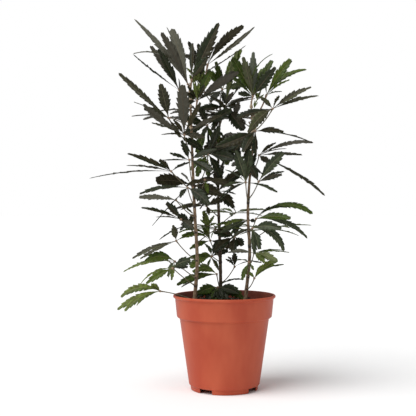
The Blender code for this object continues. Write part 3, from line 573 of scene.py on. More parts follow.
# each leaf: its stem, node height, hub, colour, droop, leaflets in all, then the leaflets of the outline:
# angle from the front, swing forwards, length, how far the upper face turns to the front, width, droop,
# which outline, from 0 for a blunt leaflet to 3 for a pointed one, and a colour of its own
leafRows = (
    ("left", 548, (-67, -32, 560), "grey", 22, 6, (130, 8, 150, -50, 15, 22, 3),
     (118, 14, 104, 65, 18, "dark"), (110, -10, 117, 28, 15), (106.5, 10, 103, -80, 21, 22, 0),
     (153, 14, 113, 8, 13, 104, 3), (124, -15, 112, 8, 9)),
    ("left", 541, (-60, -50, 565), "dark", 18, 4, (63.8, 8, 112, 80, 27, 4), (31, 10, 115, 8, 11, -12),
     (89.5, -14, 72, 50, 12, 18, 0), (52, 24, 50, 70, 18)),
    ("left", 530, (-31, -32, 596), "dark", 42, 5, (46, 5, 95, -52, 19, 46),
     (40, -10, 115, 36, 14, -14, "grey"), (38, 14, 90, 32, 10, -12), (158, -12, 46, 66, 15, 30, 0)),
    ("left", 520, (-83, -30, 550), "dark", 12, 4, (143, 8, 104, 14, 11, -12), (122.5, -14, 104, 65, 19),
     (118, 22, 84, 60, 18)),
    ("left", 500, (-50, -40, 529), "dark", 16, 10, (64, 14, 58, 66, 17, "green"),
     (34, 4, 91, -60, 18, "dark"), (124, 20, 32, 40, 9), (20, 30, 42, 40, 11), (62, 30, 34, 60, 13),
     (150, 20, 30, 60, 12), (200, 20, 26, 60, 11), (84, 16, 32, 60, 9, 10, "olive"),
     (101, 18, 32, 60, 9, 10, "olive")),
    ("left", 450, (-102, -36, 498), "grey", 12, 6, (138.4, 10, 120, -45, 14, -8),
     (138.6, -8, 123, 12, 11, -2), (102.5, 34, 70, 80, 22), (153, -28, 84, 10, 9), (163, 38, 56, 80, 18),
     (300, 30, 50, 40, 14)),
    ("left", 432, (-73, -52, 466), "grey", 15, 8, (92, 14, 90, -82, 25, "dark"),
     (144, 14, 92, 60, 17, -24, "dark"), (162, 20, 68, 14, 11), (178, -16, 44, 25, 11),
     (60, 35, 74, 40, 16, "dark"), (28, -8, 78, 50, 16, "dark"), (350, 20, 40, 60, 15, "dark"),
     (126, 14, 34, 60, 10, "dark")),
    ("left", 378, (-64, -52, 421), "dark", 20, 5, (161, 8, 37, 32, 11, 0), (182, 22, 50, 12, 10, 0),
     (112, 12, 38, 60, 14), (330, 40, 60, 60, 18), (20, 20, 56, 60, 16)),
    ("left", 366, (-97, -42, 401), "dark", 14, 5, (158, 6, 85, 52, 14), (172, -14, 86, 26, 12),
     (185.4, 10, 147, 18, 12, 17), (136, 10, 30, 50, 12), (30, -50, 60, 30)),
    ("left", 360, (-62, 8, 378), "dark", 24, 4, (175, 38, 80, 80, 26, 24, 0), (340, 20, 66, 70, 22),
     (12, 30, 56, 70)),
    ("left", 340, (-67, -56, 371), "dark", 38, 4, (188, 8, 87, 36, 12, 30), (227, -8, 96, 8, 10, 8),
     (320, 30, 58, 84, 24), (236, 42, 30, 50, 12)),
    ("left", 318, (-89, -20, 349), "grey", 14, 3, (176, 6, 68, -48, 15), (322, 10, 40, 20, 7)),
    ("left", 290, (-79, -46, 314), "dark", 20, 4, (131, 14, 43, 75, 15), (163, 5, 79, 26, 12),
     (175, -18, 48, 5, 7), (322, 30, 34, 80, 19)),
    ("left", 240, (-88, -36, 275), "grey", 36, 4, (202, 10, 86, 34, 13, 22), (207, -14, 78, 28, 11, 12),
     (100, 30, 34, 70, 14, 20), (10, -34, 64, 50, 12, 40, "green")),
    ("left", 208, (-91, -26, 237), "green", 40, 4, (179, 22, 57, 68, 20, 78, 3),
     (192, -6, 98, 45, 12, 42, "olive"), (261, 20, 36, 65, 9, 20, "olive")),
    ("left", 194, (-94, -45, 226), "green", 38, 5, (210, 14, 56, 62, 16, 22),
     (207, -24, 74, 28, 9, 56, "olive"), (25, 30, 42, 75, 17, 40, "blue"), (4, 10, 28, 60, 12, "blue")),
    ("left", 166, (-118, -20, 182), "olive", 48, 5, (188, 10, 73, 54, 17, 76, 3),
     (203.5, 0, 86, 64, 15, 34), (208, 26, 78, 55, 14, 55), (213, -22, 58, 40, 12, 50),
     (142, 20, 22, 60, 12)),
    ("left", 372, (-30, -16, 434), "dark", 18, 7, (16, 18, 62, 84, 26), (346, 34, 58, 80, 22),
     (300, 10, 46, 60, 20), (150, 30, 60, 50, 20), (66, 30, 60, 50, 20), (240, 20, 46, 60, 14, "green")),
    ("left", 354, (-36, -34, 386), "dark", 24, 4, (346, 6, 56, 72, 16), (283, 20, 27, 60, 9, 20, "green"),
     (200, 10, 40, 60)),
    ("right", 522, (52, -22, 539), "green", 14, 10, (105, 10, 74, 70, 16, "grey"), (117, -6, 82, 75, 20),
     (89, -8, 85, -80, 18, "blue"), (51, 20, 68, 75, 21, "dark"), (62, -10, 79, 65, 14, 14, 0),
     (67, -22, 68, 70, 18, 14, "olive"), (65, 4, 85, 12, 8, 200), (136, -20, 74, 50),
     (68, -14, 58, 70, 24, 10, "olive"), (170, 10, 28, 60, 12, "dark")),
    ("right", 500, (77, -15, 542), "green", 28, 5, (55, 12, 79, 60, 16, 24, 0), (33, -5, 90, 50, 12, 64, 2),
     (31, 30, 54, 36, 11), (16, -18, 32, 15, 8)),
    ("right", 474, (88, -26, 516), "grey", 24, 6, (28.5, 10, 80, 60, 14, 22, 3), (16.4, -8, 90, 42, 13, 14),
     (63, 20, 27, 25, 9, "dark"), (226, 34, 82, 80, 19, 40), (194, -6, 69, 60, 15, 10, "dark"),
     (140, 10, 34, 60, 12)),
    ("right", 446, (55, -50, 473), "dark", 34, 7, (202.5, 14, 80, 84, 22, -10, "dark"),
     (359, -6, 52, 54, 13, 16, 3), (347, 12, 106, 9, 8, 24), (240, 40, 62, 60, 18), (222, -10, 48, 60, 18),
     (269, 10, 42, 60, 12, 10)),
    ("right", 402, (63, -24, 431), "grey", 22, 6, (13, 6, 101, 34, 12, 40, "dark"),
     (36, 22, 40, 40, 9, "dark"), (15, -24, 59, 5, 7), (1, -12, 83, 36, 12, 15),
     (316, 45, 30, 65, 13, "dark"), (329, -6, 144, 22, 13, 22)),
    ("right", 352, (61, -44, 382), "blue", 24, 5, (50, 12, 70, 84, 17.5), (22, -20, 55, 30, 11),
     (17, 16, 45, 50, 11, 6, "dark"), (116, 10, 32, 60, 13, "dark")),
    ("right", 346, (38, -40, 381), "blue", 26, 8, (109, 14, 63, 84, 21), (83, -4, 60, 80, 20),
     (342, 14, 61, 40, 8), (207, -8, 50, 10), (192, 20, 44, 30), (150, 30, 50, 20, 10), (214, -24, 60, 20),
     (70, -10, 58, 60, 13, "dark")),
    ("right", 292, (57, -32, 315), "green", 52, 4, (5, 6, 103, 34, 14, 88, 0), (0, 20, 65, 52, 17, 32),
     (339, -8, 103, 38, 15, 58, "blue"), (20, 10, 60, 8, 7, 80, "dark")),
    ("right", 286, (46, 4, 312), "green", 34, 5, (188, -10, 63, 30, 11, 10),
     (192, 14, 48, 40, 9, 40, "olive"), (203, 30, 67, 60, 11, 16, "blue"),
     (350, 10, 13, 60, 8, 10, "dark")),
    ("right", 266, (50, -42, 298), "blue", 40, 5, (359, 30, 58, 80, 17), (323.5, 10, 70, 70, 14, 106),
     (288, 24, 43, 80, 15), (273, 30, 53, 60, 12), (205, 6, 42, 40, 8, "dark")),
    ("right", 230, (53, -38, 253), "olive", 24, 5, (1, 6, 64, 15, 8), (4, -18, 59, 12, 7, "green"),
     (343, 36, 50, -60, 14), (318, 40, 32, 70, 12), (180, -14, 48, -45, 10, "grey")),
    ("right", 208, (44, -35, 236), "green", 24, 3, (248, 8, 35, 60, 10), (300, 40, 20, 40, 6, "olive")),
    ("right", 186, (54, -34, 207), "olive", 30, 4, (39, 12, 55, 55, 12, 45),
     (24, -10, 61, 12, 7, 50, "green"), (58, 34, 36, 60, 8), (135, 20, 16, 60, 7)),
    ("middle", 540, (-3, 38, 560), "green", 20, 7, (104, 14, 54, 70, 14), (129, 10, 47, 60, 16),
     (64, 14, 84, 60, 18, "olive"), (6, 24, 62, 60, 20), (229, 20, 38, 60, 16, "dark"),
     (282, 24, 32, 70, 14, "dark")),
    ("middle", 516, (-36, 12, 550), "dark", 20, 5, (108, 8, 100, 60, 14, 20, 0),
     (98, 10, 92, 50, 12, 20, 0), (29, 16, 86, -64, 18), (112, -26, 60, 50), (318, -20, 62, 40, 18)),
    ("middle", 492, (2, 12, 524), "dark", 16, 10, (78, 4, 110, 60, 16, "green"), (18.5, 10, 55, 26, 11),
     (17, -16, 62, 12, 9), (306, 22, 62, 80, 24, 0), (52, -6, 64, 10, 9), (190, 14, 58, 60, 18),
     (242, 20, 56, 60, 12), (4, 16, 24, 60, 12)),
    ("middle", 455, (-32, 4, 489), "dark", 18, 10, (321, 10, 48, 25, 8, 40), (289, 30, 38, 60, 11, "green"),
     (168, 16, 54, 60, 20), (28, 30, 60, 60, 20), (205, 30, 54, 50, 20), (250, -12, 56, 65, 16, "green"),
     (116, 20, 42, 60, 16)),
    ("middle", 430, (24, 74, 470), "dark", 22, 7, (200, 20, 70, 60, 22), (250, 20, 60, 60, 18, "green")),
    ("middle", 400, (-38, 70, 436), "green", 24, 7, (20, 10, 70, 60, 22, "grey"), (252, 10, 44, 60, 12),
     (228, 14, 40, 60, 12), (282, -10, 46, 60, 12)),
    ("middle", 380, (34, 30, 422), "dark", 24, 7, (160, 20, 62, 70, 22), (62, 20, 44, 40, 14),
     (330, -20, 50, 40, 18), (120, 20, 56, 60, 22)),
    ("middle", 338, (-12, 14, 366), "dark", 24, 9, (313, 18, 46, 78, 20), (225, -6, 48, 10, 9),
     (350, 22, 36, 10, 8), (200, 42, 54, 50), (40, -16, 60, 60, 20), (95, 14, 52, 60, 16),
     (79, 12, 60, 60, 13)),
    ("middle", 318, (-33, 10, 338), "dark", 26, 5, (184, 6, 56, 36), (188, -26, 56, 8),
     (285, 14, 18, 60, 8), (20, 10, 38, 60, 14)),
    ("middle", 292, (-62, 8, 304), "dark", 30, 5, (206, 6, 66, 16, 8), (207, -24, 26, 30, 9),
     (80, 16, 20, 60, 12), (147, 20, 32, 60, 15)),
    ("middle", 254, (20, 20, 280), "dark", 34, 6, (312, 30, 25, 80, 15), (24, -10, 36, 30, 8),
     (262, 30, 34, 75, 20), (215, 20, 48, 60, 16), (168, 14, 42, 70, 18), (80, 16, 28, 60, 14)),
    ("middle", 242, (-26, 56, 272), "green", 26, 7, (103, 10, 60, 60, 11, 12, 0, "olive"),
     (166, 10, 63, 25, 9, 95), (170, 24, 60, 40, 9, 70), (340, 10, 40, 60, 18, "dark"),
     (120, 14, 36, 60, 10), (202, 14, 44, 60, 12, 20)),
    ("middle", 232, (-23, 22, 244), "green", 36, 5, (174, 12, 21, 60, 9, "olive"),
     (207, 45, 62, 45, 14, 30, 0, "olive"), (60, 16, 36, 60, 16, "dark"), (186, 24, 52, 40, 9)),
    ("middle", 214, (-24, 66, 240), "green", 34, 5, (300, 20, 30, 60, 8), (200, 10, 46, 50, 12),
     (172, 10, 23, 60, 11), (20, 14, 36, 60, 12, "dark"), (250, 16, 24, 40, 8)),
    ("middle", 192, (20, 24, 224), "dark", 20, 4, (90, 16, 27, 70, 11, 20, 0), (8, 2, 52, 12, 7, 52),
     (140, 10, 23, 30, 7, 50)),
    ("middle", 178, (-14, 10, 211), "green", 40, 4, (174, 16, 47, 60, 13, 77, "olive"),
     (194, 20, 81, 60, 14, 35), (201, -10, 73, 25, 8, 30, "dark")),
    ("middle", 168, (-12, 5, 187), "green", 14, 9, (336, 10, 52, 80, 20, 50),
     (205, 10, 45, 80, 19, 50, "dark"), (195, 24, 42, 80, 20, 30), (285, 30, 27, 80, 17, "dark"),
     (15, -10, 52, 15, 7, 60, "dark"), (232, 20, 36, 80, 18, 50, "dark"), (345, 24, 44, 80, 20, 30, "dark"),
     (310, 26, 32, 80, 18, "dark"), (255, 26, 30, 80, 18)),
)

# young shoots: where each springs from the stem, and its leaflets
shootLook = {"tint": "olive", "outline": 2, "droop": 18, "fold": 0.3}
shoots = (
    ((-48, -37, 560), ((62, 10, 26, 60, 7), (118, 10, 24, 60, 7), (92, 20, 30, 60, 7), (30, 14, 20, 60, 6))),
    ((-57, -34, 574), ((75, 10, 24, 60, 6), (130, 12, 20, 60, 6), (50, -10, 22, 60, 6))),
    ((-57, -34, 560), ((80, 10, 22, 60, 8), (112, 10, 18, 60, 7), (58, 16, 20, 60, 7))),
    ((60, -20, 532), ((70, 10, 20, 60, 6), (104, 10, 18, 60, 6), (40, 10, 16, 60, 5), (88, 20, 14, 60, 5))),
    ((54, -23, 517), ((70, 10, 20, 40, 4), (84, -10, 15, 50, 3.5), (58, 20, 13, 50, 3.5))),
    ((-12, 36, 455), ((74, 12, 22, 50, 5), (95, -8, 16, 50, 4), (50, 10, 15, 50, 4))),
    ((-34, 24, 402), ((80, 12, 24, 50, 6), (110, 10, 18, 50, 5), (52, 14, 20, 50, 5), (20, 20, 18, 50, 5))),
    ((-30, 30, 300), ((100, 12, 26, 60, 8), (60, 16, 24, 60, 8), (140, 10, 20, 60, 6), (20, 20, 18, 60, 6))),
)

# leaves at the back: lowest node, highest node and how many, for each stem
backRule = {"left": (270, 480, 2), "middle": (300, 500, 2), "right": (270, 480, 2)}
backLeaf = {
    "azimuth": 92.0, "turn": 34.0, "turnPlay": 9, "petiole": 60.0, "rise": 24.0, "count": 7, "halfFan": 150.0,
    "fanPlay": 8, "lift": (-9, 7), "length": 84.0, "shorter": 0.36, "lengths": (0.9, 1.1), "droop": 20.0,
}


def solidTree(verts, faces):
    return BVHTree.FromPolygons([Vector(v) for v in verts], faces)


def ring(centre, across, along, sides, radius):
    turns = [2 * math.pi * k / sides for k in range(sides)]
    return [centre + radius * (math.cos(t) * across + math.sin(t) * along) for t in turns]


def tube(rings):
    sides = len(rings[0])
    verts = [v for r in rings for v in r]
    faces = [tuple(range(sides))]
    for i in range(len(rings) - 1):
        for k in range(sides):
            a, b = i * sides + k, i * sides + (k + 1) % sides
            faces.append((a, b, b + sides, a + sides))
    faces.append(tuple(range(len(verts) - sides, len(verts))))
    return verts, faces


def stalkCurve(stem, node, hub):
    # start, knee and end of a leaf stalk, and the way it leaves the stem
    centre, radius = stemAt(stem, node)
    hub = Vector(hub)
    if node >= stem["bends"][-1][2]:
        lead = Vector((0, 0, 1))
        start = centre + lead * gap
    else:
        lead = Vector((hub.x - centre.x, hub.y - centre.y, 0)).normalized()
        start = centre + lead * (radius + gap)
    span = (hub - start).length
    knee = start + lead * span * leafRule["stalkRun"] + Vector((0, 0, span * leafRule["stalkRise"]))
    return start, knee, hub, lead


def stalkSolid(stem, node, hub, swell=0.0):
    start, knee, hub, lead = stalkCurve(stem, node, hub)
    rings = []
    for k in range(5):
        t = k / 4
        centre = start * (1 - t) ** 2 + knee * 2 * t * (1 - t) + hub * t * t
        run = lead if k == 0 else (knee - start) * (1 - t) + (hub - knee) * t
        side = run.cross(Vector((0, 0, 1)))
        if side.length < 1e-6:
            side = Vector((0, 1, 0))
        side.normalize()
        rings.append(ring(centre, side, run.cross(side).normalized(), 3, leafRule["petioleRadius"] + swell))
    return tube(rings)


def hubSolid(hub, swell=0.0):
    reach = leafRule["hubRadius"] + swell
    turn = Matrix.Rotation(0.4, 3, "X") @ Matrix.Rotation(0.3, 3, "Z")
    corners = [turn @ (Vector(c) * reach) for c in (
        (1, 0, 0), (0, 1, 0), (-1, 0, 0), (0, -1, 0), (0, 0, 1), (0, 0, -1))]
    faces = [(k, (k + 1) % 4, 4) for k in range(4)] + [((k + 1) % 4, k, 5) for k in range(4)]
    return [c + Vector(hub) for c in corners], faces


def viewDirection(angle, swing):
    a, s = math.radians(angle), math.radians(swing)
    return Vector((math.cos(a) * math.cos(s), -math.sin(s), math.sin(a) * math.cos(s)))


def faceNormal(direction, facing):
    front = Vector((0, -1, 0))
    toFront = (front - direction * front.dot(direction)).normalized()
    edgeOn = direction.cross(toFront)
    if edgeOn.z < 0:
        edgeOn.negate()
    f = math.radians(facing)
    return edgeOn * math.cos(f) + toFront * math.sin(f)


def bladeArc(direction, length, droop):
    # the arc whose chord runs from hub to tip: its axis, the way it bulges, its radius and its bend
    level = direction.cross(Vector((0, 0, 1)))
    bend = math.radians(droop) * level.length
    if abs(bend) < 0.02:
        bend = 0.02
    axis = level.normalized()
    return axis, axis.cross(direction), length / (2 * math.sin(bend / 2)), bend


def bladeSolid(hub, direction, length, normal, width, droop, swell=0.0):
    axis, lift, radius, bend = bladeArc(direction, length, droop)
    thick = leafRule["thickness"] + swell
    sections = leafRule["shortSections"] if length < leafRule["shortBlade"] else leafRule["longSections"]
    stations = [(1.0 / length, leafRule["neckWidth"] / width)] + list(sections)
    verts = []
    for s, share in stations:
        phi = bend * (s - 0.5)
        centre = Vector(hub) + direction * radius * (math.sin(phi) + math.sin(bend / 2))
        centre = centre + lift * radius * (math.cos(phi) - math.cos(bend / 2))
        turn = Matrix.Rotation(-phi, 3, axis)
        up = turn @ normal
        side = (turn @ direction).cross(up).normalized()
        half = width * share / 2 + swell
        fold = up * half * leafRule["fold"]
        verts += [centre - side * half + fold, centre + up * thick / 2,
                  centre + side * half + fold, centre - up * thick / 2]
    verts.append(Vector(hub) + direction * (length + swell))
    faces = [(0, 1, 2), (0, 2, 3)]
    for i in range(len(stations) - 1):
        for k in range(4):
            a, b = 4 * i + k, 4 * i + (k + 1) % 4
            faces += [(a, b, b + 4), (a, b + 4, a + 4)]
    last = 4 * (len(stations) - 1)
    faces += [(last + k, last + (k + 1) % 4, len(verts) - 1) for k in range(4)]
    return verts, faces


def nudged(direction, degrees):
    axis = direction.cross(Vector((0, -1, 0)))
    if axis.length < 0.2:
        axis = Vector((1, 0, 0))
    return Matrix.Rotation(math.radians(degrees), 3, axis.normalized()) @ direction


def usualWidth(length):
    return min(max(length * leafRule["ratio"], leafRule["narrowest"]), leafRule["widest"])


def leafPlan(index, row):
    stem, node, hub, colour, droop, count = row[:6]
    dice = random.Random(seed * 1000 + index)
    listed = list(row[6:])
    middle, spread = listed[0][0], leafRule["fillSpread"]
    rows = []
    for k in range(count - len(listed)):
        swing = (-1 if k % 2 == 0 else 1) * dice.uniform(*leafRule["fillSwing"])
        angle = middle + dice.uniform(-spread, spread) + (180 if k % 3 == 2 else 0)
        length = dice.uniform(*leafRule["fillLength"])
        rows.append((angle, swing, length, dice.uniform(*leafRule["fillFacing"])))
    leaflets = []
    for angle, swing, length, facing, *own in listed + rows:
        direction = viewDirection(angle, swing)
        tint = own.pop() if own and isinstance(own[-1], str) else colour
        width = own[0] if own else usualWidth(length)
        bend = own[1] if len(own) > 1 else droop
        outline = own[2] if len(own) > 2 else None
        leaflets.append((direction, length, faceNormal(direction, facing), width, bend, outline, tint))
    return stem, node, hub, colour, leaflets


def backPlan(stemName, k):
    low, high, count = backRule[stemName]
    b = backLeaf
    dice = random.Random(seed * 7 + k + 10 * len(stemName))
    node = low + (high - low) * k / (count - 1)
    turn = (b["turn"] if k % 2 else -b["turn"]) + dice.uniform(-b["turnPlay"], b["turnPlay"])
    azimuth = math.radians(b["azimuth"] + turn)
    out = Vector((math.cos(azimuth), math.sin(azimuth), 0))
    hub = splineAt(stems[stemName]["bends"], node) + out * b["petiole"] + Vector((0, 0, b["rise"]))
    across = out.cross(Vector((0, 0, 1)))
    colour = ("green", "dark")[k % 2]
    leaflets = []
    for i in range(b["count"]):
        fan = b["halfFan"] * (2 * i / (b["count"] - 1) - 1) + dice.uniform(-b["fanPlay"], b["fanPlay"])
        f = math.radians(fan)
        rise = math.radians(dice.uniform(*b["lift"]))
        flat = out * math.cos(f) + across * math.sin(f)
        direction = flat * math.cos(rise) + Vector((0, 0, math.sin(rise)))
        normal = (Vector((0, 0, 1)) - direction * direction.z).normalized()
        length = b["length"] * (1 - b["shorter"] * abs(fan) / 180) * dice.uniform(*b["lengths"])
        leaflets.append((direction, length, normal, usualWidth(length), b["droop"], None, colour))
    return stemName, node, tuple(hub), colour, leaflets


def clearOf(verts, faces, others):
    tree = solidTree(verts, faces)
    return not any(tree.overlap(other) for other in others)


def nodeTree(name):
    mesh = nodes[name].data
    verts = [(v.co - potAxis) / mm for v in mesh.vertices]
    return solidTree(verts, [tuple(face.vertices) for face in mesh.polygons])


def growLeaves():
    # stalks first, then each leaflet where it stays clear of everything but its own leaf
    limbs = {name: nodeTree(f"stem_{name}") for name in stems}
    limbs["pot"] = nodeTree("pot")
    limbs["soil"] = nodeTree("potting_soil")
    plans = [leafPlan(i, row) for i, row in enumerate(leafRows)]
    plans += [backPlan(name, k) for name in backRule for k in range(backRule[name][2])]
    clear = leafRule["clear"]
    placed = []
    for stem, node, hub, colour, leaflets in plans:
        stalk, bead = stalkSolid(stems[stem], node, hub), hubSolid(hub)
        swollen = [stalkSolid(stems[stem], node, hub, clear), hubSolid(hub, clear)]
        own = [limbs[n] for n in limbs if n != stem] + [t for leaf in placed for t in leaf["trees"]]
        if all(clearOf(v, f, own) for v, f in swollen) and clearOf(*stalk, [limbs[stem]]):
            placed.append({"stem": stem, "node": node, "hub": Vector(hub), "colour": colour, "plan": leaflets,
                           "trees": [solidTree(*stalk), solidTree(*bead)], "blades": []})
    for leaf in placed:
        others = [t for other in placed if other is not leaf for t in other["trees"]]
        others += list(limbs.values())
        for direction, length, normal, width, droop, outline, tint in leaf["plan"]:
            for turn in leafRule["nudges"]:
                d = nudged(direction, turn)
                up = (normal - d * normal.dot(d)).normalized()
                if clearOf(*bladeSolid(leaf["hub"], d, length, up, width, droop, clear), others):
                    leaf["trees"].append(solidTree(*bladeSolid(leaf["hub"], d, length, up, width, droop)))
                    leaf["blades"].append((d, length, up, width, droop, outline, tint))
                    break
    numbers = dict.fromkeys(stems, 0)
    for leaf in placed:
        numbers[leaf["stem"]] += 1
        leaf["cadNode"] = f"leaf_{leaf['stem']}_{numbers[leaf['stem']]:02d}"
    return placed


leaves = growLeaves()
print(len(leaves), "leaves placed,", sum(len(leaf["blades"]) for leaf in leaves), "leaflets")
unmatched = {name for name in nodes if name.startswith("leaf_")} ^ {leaf["cadNode"] for leaf in leaves}
print("nodes not matched", sorted(unmatched))


def buildStem(name):
    # a straight tube with many rings, then laid along the stem's bends with knobs and scars at its nodes
    p = stemLook
    stem = stems[name]
    bends, foot, tip = stem["bends"], stem["bends"][0][2], stem["bends"][-1][2]
    low, high = foot - p["sunk"], tip + p["overTip"]
    blank = tubeBlank(p["sides"], round((high - low) / p["ringStep"]))
    shape = coordsOf(blank)
    scars = []
    for leaf in leaves:
        if leaf["stem"] == name and leaf["node"] < tip:
            away = leaf["hub"] - splineAt(bends, leaf["node"])
            scars.append((leaf["node"], math.atan2(away.y, away.x)))
    points = np.empty_like(shape)
    for i, (x, y, z) in enumerate(shape):
        height = low + (high - low) * z
        at = splineAt(bends, min(max(height, foot), tip))
        turn = math.atan2(y, x)
        knobs = [math.exp(-((height - node) / p["knobHeight"]) ** 2) for node, side in scars]
        grain = Vector((math.cos(turn) * p["grainRound"], math.sin(turn) * p["grainRound"],
                        height * p["grainRise"])) * p["grainScale"]
        radius = stemRadius(stem, max(height, foot)) + p["knob"] * max(knobs, default=0)
        radius += p["relief"] * (noise.noise(grain) + p["fineShare"] * noise.noise(grain * p["fineScale"]))
        points[i] = (at.x + radius * math.cos(turn), at.y + radius * math.sin(turn), height)
    # the bark colours are multiplied by the stem's painted shade: strongest on the middle stem, a little on
    # the right one
    dim, pale = [tuple(stem["barkPaintedShade"] * c for c in p[key]) for key in ("bark", "barkPale")]
    bark = mottled(f"bark_{name}", dim, pale, bump=0.6, bumpDepth=0.0006, specular=0.3, stretch=(1, 1, 0.3),
                   scale=420.0, detail=5.0, low=0.40, high=0.66, smooth=0.65, rough=0.95)
    young = mottled(f"youngBark_{name}", p["young"], p["youngPale"], bump=0.3, specular=0.4,
                    stretch=(1, 1, 0.3), scale=300.0, low=0.4, high=0.7, smooth=0.5, rough=0.75)
    scar = mottled(f"leafScar_{name}", p["scar"], p["bark"], bump=0.5, scale=500.0, low=0.5, high=0.8,
                   smooth=0.8, rough=1.0)
    stemObj = copyWith(blank, f"bark_{name}", points, [bark, young, scar])
    bpy.data.objects.remove(blank)
    dice = random.Random(seed + len(name))
    for face in stemObj.data.polygons:
        centre = (face.center - potAxis) / mm
        at = splineAt(bends, min(max(centre.z, foot), tip))
        turn = math.atan2(centre.y - at.y, centre.x - at.x)
        if centre.z > stem["paleFrom"] + p["paleUneven"] * dice.random():
            face.material_index = 1
        for node, side in scars:
            apart = abs((turn - side + math.pi) % (2 * math.pi) - math.pi)
            if (-p["scarHeight"] < centre.z - node < p["scarHeight"] * 0.5
                    and apart < p["scarWidth"] + p["scarUneven"] * dice.random()):
                face.material_index = 2
    choose(stemObj)
    shadeByAngle(p["smoothTo"])
    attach(stemObj, "root")
    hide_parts(f"stem_{name}")
    return stemObj


for stemName in stems:
    buildStem(stemName)
print("stems built")


# leaf stalks: thin and round, swollen where they clasp the stem, with a knot of leaflet joints at the end
stalkLook = {
    "sides": 8, "cuts": 14, "sunk": 1.6,
    "radii": ((0, 2.0), (0.05, 1.75), (0.12, 1.1), (0.5, 0.9), (0.9, 0.95), (1, 1.5)),
    "knot": 2.3, "youngFrom": 490, "youngThick": 1.5,
    "colour": (0.085, 0.075, 0.035), "second": (0.15, 0.115, 0.065),
    "knotColour": (0.22, 0.135, 0.085), "knotSecond": (0.32, 0.215, 0.14),
}


def buildStalks():
    p = stalkLook
    blank = tubeBlank(p["sides"], p["cuts"])
    shadeByAngle(stemLook["smoothTo"])
    deselect()
    bpy.ops.mesh.primitive_ico_sphere_add(subdivisions=2, radius=1)
    knot = applied(bpy.context.object)
    bpy.ops.object.shade_smooth()
    shape, knotShape = coordsOf(blank), coordsOf(knot)
    radii = np.interp(shape[:, 2], *zip(*p["radii"]))
    skin = mottled("leafStalk", p["colour"], p["second"], bump=0.15, specular=0.45, stretch=(1, 1, 0.5),
                   scale=260.0, low=0.35, high=0.7, smooth=0.4, rough=0.6)
    tan = mottled("leafletKnot", p["knotColour"], p["knotSecond"], bump=0.3, scale=420.0, low=0.35,
                  high=0.7, smooth=0.5, rough=0.75)
    pieces = []
    for leaf in leaves:
        start, knee, hub, lead = stalkCurve(stems[leaf["stem"]], leaf["node"], leaf["hub"])
        start = start - lead * p["sunk"]
        t = shape[:, 2:3]
        centres = np.array(start) * (1 - t) ** 2 + np.array(knee) * 2 * t * (1 - t) + np.array(hub) * t * t
        runs = np.array(knee - start) * (1 - t) + np.array(hub - knee) * t
        runs /= np.linalg.norm(runs, axis=1, keepdims=True)
        plane = lead.cross(Vector((0, 0, 1)))
        if plane.length < 0.1:
            plane = (hub - start).cross(Vector((0, 0, 1)))
        side = np.array(plane.normalized())
        young = leaf["stem"] != "middle" and leaf["node"] > p["youngFrom"]
        thick = (radii * (p["youngThick"] if young else 1))[:, None]
        points = centres + side * (shape[:, 0:1] * thick) + np.cross(side, runs) * (shape[:, 1:2] * thick)
        pieces.append(copyWith(blank, "stalk", points, [tan if young else skin]))
        pieces.append(copyWith(knot, "knot", knotShape * p["knot"] + np.array(hub), [tan]))
    for obj in (blank, knot):
        bpy.data.objects.remove(obj)
    return joined("leafStalks", pieces, "leaf_olive")


stalks = buildStalks()


# papery sheaths that clasp the youngest stalks
sheathLook = {
    "sides": 10, "cuts": 5, "top": 0.45, "from": 440, "length": 17.0, "lengths": (0.7, 1.25),
    "upwards": 0.5, "radius": 2.9, "bulge": 0.7, "bulges": 7, "uneven": 0.5,
    "fray": 1.6, "frayFrom": 0.9, "sunk": 2.4, "drop": 2,
    "colour": (0.23, 0.165, 0.10), "pale": (0.46, 0.37, 0.26),
}


def buildSheaths():
    # a cone with rings, bulging low down and frayed at its edge
    p = sheathLook
    blank = tubeBlank(p["sides"], p["cuts"], p["top"])
    shadeByAngle(stemLook["smoothTo"])
    shape = coordsOf(blank)
    skin = mottled("leafSheath", p["colour"], p["pale"], bump=0.5, bumpDepth=0.0006, specular=0.3,
                   stretch=(1, 1, 0.4), scale=380.0, low=0.35, high=0.65, smooth=0.6, rough=0.85)
    pieces = []
    dice = random.Random(seed + 5)
    for leaf in leaves:
        if leaf["node"] < p["from"] or leaf["stem"] == "middle":
            continue
        node = leaf["node"]
        start, knee, hub, lead = stalkCurve(stems[leaf["stem"]], node, leaf["hub"])
        run = ((knee - start).normalized() + Vector((0, 0, p["upwards"]))).normalized()
        side = run.cross(Vector((0, 1, 0.2))).normalized()
        up = run.cross(side)
        reach = p["length"] * dice.uniform(*p["lengths"])
        points = np.empty_like(shape)
        for i, (x, y, z) in enumerate(shape):
            uneven = p["uneven"] * noise.noise(Vector((x * 2, y * 2, z * 3 + node)))
            wide = p["radius"] + p["bulge"] * math.sin(p["bulges"] * z) + uneven
            fray = p["fray"] * noise.noise(Vector((x * 3, y * 3, node))) if z > p["frayFrom"] else 0
            along = run * (z * reach + fray - p["drop"])
            points[i] = start - lead * p["sunk"] + along + (side * x + up * y) * wide
        pieces.append(copyWith(blank, "sheath", points, [skin]))
    bpy.data.objects.remove(blank)
    return joined("leafSheaths", pieces, "stem_bark")


buildSheaths()
print("stalks built,", len(stalks.data.polygons), "faces")


